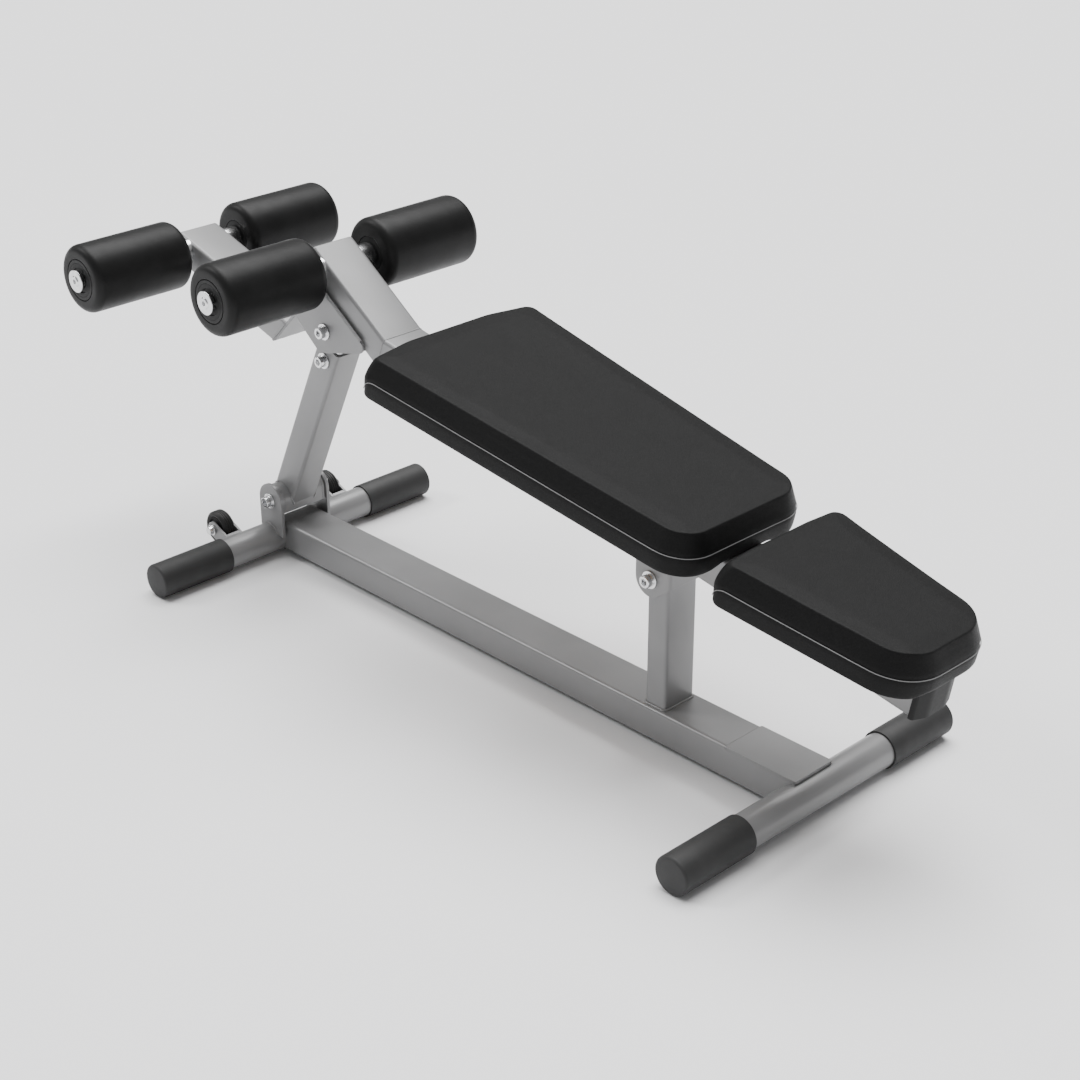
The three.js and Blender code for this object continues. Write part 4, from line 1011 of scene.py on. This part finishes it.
PADS = {
    "back_pad": dict(rear=-166, front=437.5, half=155, taper=0.065, bow=13, rear_corner=13,
                     front_corner=54, bolts=(-100, 205)),
    "head_pad": dict(rear=474, front=772.5, half=178.5, taper=0.115, bow=4, rear_corner=13,
                     front_corner=66, bolts=(540, 690)),
}


def pad_outline(pad, inset, rear_inset, steps=10):
    """Plan of a pad: tapered sides, a bowed rear edge and large round front corners."""
    def half_width(x):
        return pad["half"] - pad["taper"] * x - inset
    rear = pad["rear"] + rear_inset
    corner = rear + pad["bow"]
    front = pad["front"] - inset
    middle = 0.5 * half_width(rear)
    outline = round_off([
        (rear, 0), (rear, -middle, 120),
        (corner, -half_width(corner), pad["rear_corner"]),
        (front, -half_width(front), pad["front_corner"] - inset),
        (front, half_width(front), pad["front_corner"] - inset),
        (corner, half_width(corner), pad["rear_corner"]),
        (rear, middle, 120)], steps=steps)
    return [*outline, outline[0]]


def pad_rings(pad, levels, count):
    """Matching rings of count points round a pad, one for each (depth, inset, rear inset)."""
    base = pad_outline(pad, 0, 0)
    walked = np.cumsum([0] + [(end - start).length for start, end in zip(base, base[1:])])
    spots = np.interp(np.arange(count) * walked[-1] / count, walked, range(len(walked)))
    rings = []
    for depth, inset, rear_inset in levels:
        outline = pad_outline(pad, inset, rear_inset)
        across = range(len(outline))
        along = np.interp(spots, across, [point.x for point in outline])
        sideways = np.interp(spots, across, [point.y for point in outline])
        rings.append([Vector((x, y, -depth)) for x, y in zip(along, sideways)])
    return rings


def filled(ring, steps):
    """Rings that run from a level ring in to a line along its middle."""
    half = max(point.y for point in ring)
    low = min(point.x for point in ring) + half
    high = max(point.x for point in ring) - half
    rings = []
    for step in range(1, steps + 1):
        share = step / steps
        rings.append([point.lerp(Vector((min(max(point.x, low), high), 0, point.z)), share)
                      for point in ring])
    return rings


def settled(piece):
    """Applies a piece's modifiers to its mesh."""
    graph = bpy.context.evaluated_depsgraph_get()
    mesh = bpy.data.meshes.new_from_object(piece.evaluated_get(graph))
    piece.modifiers.clear()
    piece.data = mesh


def inflate(piece, slack):
    """Swells a pad as stretched cloth over foam: slack gives each point's share of the most."""
    vertices = piece.data.vertices
    start = np.empty(len(vertices) * 3)
    vertices.foreach_get("co", start)
    start = start.reshape(-1, 3)
    cloth = piece.modifiers.new("cloth", "CLOTH")
    cloth.settings.quality = 4
    cloth.settings.use_pressure = True
    cloth.settings.uniform_pressure_force = 4.0
    cloth.settings.effector_weights.gravity = 0.0
    cloth.point_cache.frame_start = 1
    cloth.point_cache.frame_end = CLOTH_STEPS
    for step in range(1, CLOTH_STEPS + 1):
        bpy.context.scene.frame_set(step)
    settled(piece)
    bpy.context.scene.frame_set(1)
    end = np.empty(len(start) * 3)
    piece.data.vertices.foreach_get("co", end)
    move = end.reshape(-1, 3) - start
    ties = np.empty(len(piece.data.edges) * 2, dtype=int)
    piece.data.edges.foreach_get("vertices", ties)
    ties = ties.reshape(-1, 2)
    degree = np.bincount(ties.ravel(), minlength=len(start))[:, None]
    for _ in range(SMOOTHING_STEPS):
        total = np.zeros_like(move)
        np.add.at(total, ties[:, 0], move[ties[:, 1]])
        np.add.at(total, ties[:, 1], move[ties[:, 0]])
        move = move * 0.5 + total / degree * 0.5
    length = np.linalg.norm(move, axis=1)
    limit = np.array([slack(Vector(point)) for point in start]) * MOST_SWELL * 0.001
    move *= np.minimum(1, limit / np.maximum(length, 1e-9))[:, None]
    piece.data.vertices.foreach_set("co", (start + move).ravel())


def make_vinyl():
    """Black upholstery vinyl: a leather grain of small cells with painted shade in the grain's valleys,
    softly uneven gloss.
    """
    vinyl = Finish("black_vinyl", IOR=1.5, Specular_IOR_Level=0.1)
    wander = vinyl.node("ShaderNodeTexNoise", output=1, Vector=vinyl.place, Scale=260.0, Detail=2.0)
    shifted = vinyl.node("ShaderNodeVectorMath", {"operation": "SCALE"}, Vector=wander, Scale=0.0016)
    place = vinyl.tree.nodes.new("ShaderNodeVectorMath")
    place.operation = "ADD"
    plug(vinyl.tree, place.inputs[0], vinyl.place)
    plug(vinyl.tree, place.inputs[1], shifted)
    cells = vinyl.node("ShaderNodeTexVoronoi", {"feature": "DISTANCE_TO_EDGE"},
                       Vector=Wire(vinyl.tree, place.outputs[0]), Scale=620.0)
    grain_height_and_valley_shade = vinyl.ramp(cells, 0.0, 0.32)
    tone = vinyl.ramp(vinyl.noise(9.0, 4.0), 0.3, 0.7)
    base = vinyl.blend(tone, grey(0.0080), grey(0.0098))
    # The grain's valleys between the cells are painted darker: painted shade in the hollows of the
    # grain.
    vinyl.feed("Base Color", vinyl.blend(grain_height_and_valley_shade, grey(0.006), base))
    vinyl.feed("Roughness", 0.46 - grain_height_and_valley_shade * 0.06 + vinyl.noise(30.0, 3.0) * 0.08)
    vinyl.bump(grain_height_and_valley_shade + vinyl.noise(1400.0, 2.0) * 0.2, 0.00022, 0.55)
    return vinyl.material


def make_piping():
    """Pale grey welt with a slight satin shine and a twisted feel."""
    cord = Finish("piping_vinyl", IOR=1.48)
    cord.feed("Base Color", cord.blend(cord.noise(90.0, 3.0), grey(0.14), grey(0.2)))
    cord.feed("Roughness", cord.noise(240.0, 2.0) * 0.2 + 0.34)
    cord.bump(cord.noise(1300.0, 2.0), 0.0001, 0.4)
    return cord.material


def make_plywood():
    """Bare birch plywood with long grain, seen only from below."""
    wood = Finish("pad_plywood", IOR=1.45)
    stretch = wood.node("ShaderNodeMapping", Vector=wood.place, Scale=(3.0, 42.0, 42.0))
    grain = wood.node("ShaderNodeTexNoise", Vector=stretch, Scale=3.0, Detail=8.0, Roughness=0.62)
    fibre = wood.ramp(grain, 0.3, 0.72)
    wood.feed("Base Color", wood.blend(fibre, (0.26, 0.15, 0.075, 1), (0.50, 0.34, 0.19, 1)))
    wood.feed("Roughness", fibre * 0.14 + 0.55)
    wood.bump(grain, 0.0004, 0.5)
    return wood.material


VINYL = make_vinyl()
PIPING = make_piping()
PLYWOOD = make_plywood()


def seam_line(pad):
    """Where the piping runs: along both sides and the front, and down at the rear corners."""
    start = pad["rear"] + pad["bow"] + 2
    turn = 24.0
    line = []
    for point in pad_rings(pad, [(PAD_SEAM, 0.5, 0)], 600)[0]:
        if point.x < start:
            continue
        near = max(0.0, 1 - (point.x - start) / turn)
        drop = (1 - math.sqrt(1 - near ** 2)) * (PAD_THICKNESS - PAD_SEAM - 2)
        line.append(point - Vector((0, 0, drop)))
    return line


def round_cord(line, radius):
    """A round cord along a line of points, with closed ends."""
    rings = []
    for i, spot in enumerate(line):
        along = (line[min(i + 1, len(line) - 1)] - line[max(i - 1, 0)]).normalized()
        across = along.cross(Vector((0, 0, 1)))
        across = (across if across.length > 0.1 else Vector((0, 1, 0))).normalized()
        rings.append(hoop(spot, along, across, radius))
    return loft(rings)


def share(value, low, high):
    """0 to 1 as value goes from low to high."""
    return min(1.0, max(0.0, (value - low) / (high - low)))


def lip(point, inset):
    """How far the upholstery's rolled rim hangs below the board here: not over the beam."""
    clear = share(abs(point.y), BEAM_WIDTH / 2 + 4, BEAM_WIDTH / 2 + 30)
    low = share(-point.z, PAD_SEAM + 6, PAD_THICKNESS)
    rim = share(-inset, 2 - BOARD_INSET, 16 - BOARD_INSET)
    return RIM_DROP * clear * clear * (3 - 2 * clear) * low * rim * (2 - rim)


for name, pad in PADS.items():
    perimeter = 2 * (pad["front"] - pad["rear"]) + 4 * pad["half"]
    count = round(perimeter / MESH_SIZE / 2) * 2
    rings = pad_rings(pad, COVER_LEVELS, count)
    top_steps = round(max(point.y for point in rings[-1]) / MESH_SIZE)
    for ring, (_, inset, _) in zip(rings[1:], COVER_LEVELS[1:]):
        for point in ring:
            point.z -= lip(point, inset)
    rings = filled(rings[0], 8)[::-1] + rings + filled(rings[-1], top_steps)
    cover = make(f"vinyl_{name}", loft(rings, caps=False), VINYL, "bench_beam", at=DECK,
                 nodes=[name], slot="pad_vinyl", sharp=80, merge=True)

    def slack(point):
        """How free the cover is: not at all under the pad, where it is stapled to the board."""
        x, y, z = TO_DECK @ point
        inset = min(pad["half"] - pad["taper"] * x - abs(y), x - pad["rear"], pad["front"] - x)
        if z < -PAD_SEAM and inset > 9:
            return 0.0
        edge = min(1.0, max(0.25, (inset - 13) / 25)) if z > -PAD_SEAM / 2 else 0.6
        return share(z, 3 - PAD_THICKNESS, 17 - PAD_THICKNESS) * edge

    inflate(cover, slack)

    skin = BVHTree.FromObject(cover, bpy.context.evaluated_depsgraph_get())
    seam = [skin.find_nearest(DECK @ spot)[0] for spot in seam_line(pad)]
    for _ in range(3):
        inside = [(a + b * 2 + c) / 4 for a, b, c in zip(seam, seam[1:], seam[2:])]
        seam = [seam[0], *inside, seam[-1]]
    tree = kdtree.KDTree(len(seam))
    for i, spot in enumerate(seam):
        tree.insert(spot, i)
    tree.balance()
    finer = cover.modifiers.new("finer", "SUBSURF")
    finer.levels = finer.render_levels = 1
    settled(cover)
    for vertex in cover.data.vertices:
        spot, _, distance = tree.find(vertex.co)
        if distance < GROOVE_REACH:
            fall = math.cos(distance / GROOVE_REACH * math.pi / 2) ** 2
            vertex.co -= vertex.normal * GROOVE_DEPTH * fall
    cover.data.shade_smooth()
    cover.data.set_sharp_from_angle(angle=math.radians(70))

    cord = round_cord([TO_DECK @ spot for spot in seam], PIPING_RADIUS)
    make(f"piping_{name}", cord, PIPING, "bench_beam", at=DECK, slot="pad_vinyl", sharp=80)

    low = PAD_THICKNESS - 0.3
    faces = [(depth, BOARD_INSET, BOARD_INSET) for depth in (low, low - BOARD_DEPTH)]
    make(f"plywood_{name}_board", loft(pad_rings(pad, faces, count)), PLYWOOD, "bench_beam",
         at=DECK, nodes=[f"{name}_board"], slot="pad_board", edge=0.6)

    under = PAD_THICKNESS + BEAM_DEPTH
    for number, x in enumerate(pad["bolts"], start=1):
        head = hexagon(5.6, 36)
        blunt = [min(radius, 6.0) for radius in head]
        layers = [(blunt, -under - 8), (head, -under - 7.4), (head, -under - 2), (9.0, -under - 2),
                  (9.0, -under - 0.2), (4.0, -under - 0.2), (4.0, -PAD_THICKNESS + 8)]
        points, faces = stacked(layers, 0, 0, 36)
        standing = [(x + px, pz, py) for px, py, pz in points]
        plated(f"{name}_bolt_{number}", (standing, faces), "bench_beam", at=DECK)


# --------------------------------------------------
# Studio. A pale floor that runs out of sight, a large soft light overhead, a weaker and smaller
# one from behind the rollers, and a long lens from the head end's right side.

FLOOR_SIZE = 60.0
FLOOR_GAP = 0.0005
SKY = 0.36
SUNS = (
    ("overhead", (-0.2, 0.25, 1.0), 55, 5.6),
    ("rear_softbox", (-0.64, -0.43, 0.60), 14, 1.1),
)
VIEW_AZIMUTH = math.radians(46.02)
VIEW_ELEVATION = math.radians(26.62)
VIEW_ROLL = math.radians(-0.21)
VIEW_DISTANCE = 3031.5
VIEW_TARGET = Vector((56.4, -21.2, 230.0))
LENS = 70.857
SENSOR = 36.0


def make_floor():
    floor = Finish("studio_floor", IOR=1.4)
    floor.feed("Base Color", floor.blend(floor.noise(0.8, 2.0), grey(0.88), grey(0.90)))
    floor.feed("Roughness", floor.noise(5.0, 2.0) * 0.05 + 0.75)
    return floor.material


floor_mesh = bpy.data.meshes.new("studio_floor")
corners = [(x * FLOOR_SIZE / 2, y * FLOOR_SIZE / 2, -FLOOR_GAP)
           for x, y in ((-1, -1), (1, -1), (1, 1), (-1, 1))]
floor_mesh.from_pydata(corners, [], [(0, 1, 2, 3)])
floor_mesh.materials.append(make_floor())
studio_floor = placed("studio_floor", floor_mesh)

world = bpy.data.worlds.new("studio")
world.use_nodes = True
world.node_tree.nodes["Background"].inputs["Color"].default_value = (1, 1, 1, 1)
world.node_tree.nodes["Background"].inputs["Strength"].default_value = SKY
bpy.context.scene.world = world

back = Vector((math.sin(VIEW_AZIMUTH) * math.cos(VIEW_ELEVATION),
               -math.cos(VIEW_AZIMUTH) * math.cos(VIEW_ELEVATION), math.sin(VIEW_ELEVATION)))
level = Vector((0, 0, 1)).cross(back).normalized()
rise = back.cross(level)
right = level * math.cos(VIEW_ROLL) + rise * math.sin(VIEW_ROLL)
up = rise * math.cos(VIEW_ROLL) - level * math.sin(VIEW_ROLL)
lens = bpy.data.cameras.new("camera")
lens.lens = LENS
lens.sensor_width = SENSOR
camera = placed("camera", lens)
aim = Matrix((right, up, back)).transposed().to_4x4()
camera.matrix_world = Matrix.Translation(FLOOR @ (VIEW_TARGET + back * VIEW_DISTANCE)) @ aim
bpy.context.scene.camera = camera

for name, towards, angle, power in SUNS:
    sun = bpy.data.lights.new(name, "SUN")
    sun.energy = power
    sun.angle = math.radians(angle)
    lamp = placed(name, sun)
    lamp.rotation_euler = Vector(towards).to_track_quat("Z", "Y").to_euler()
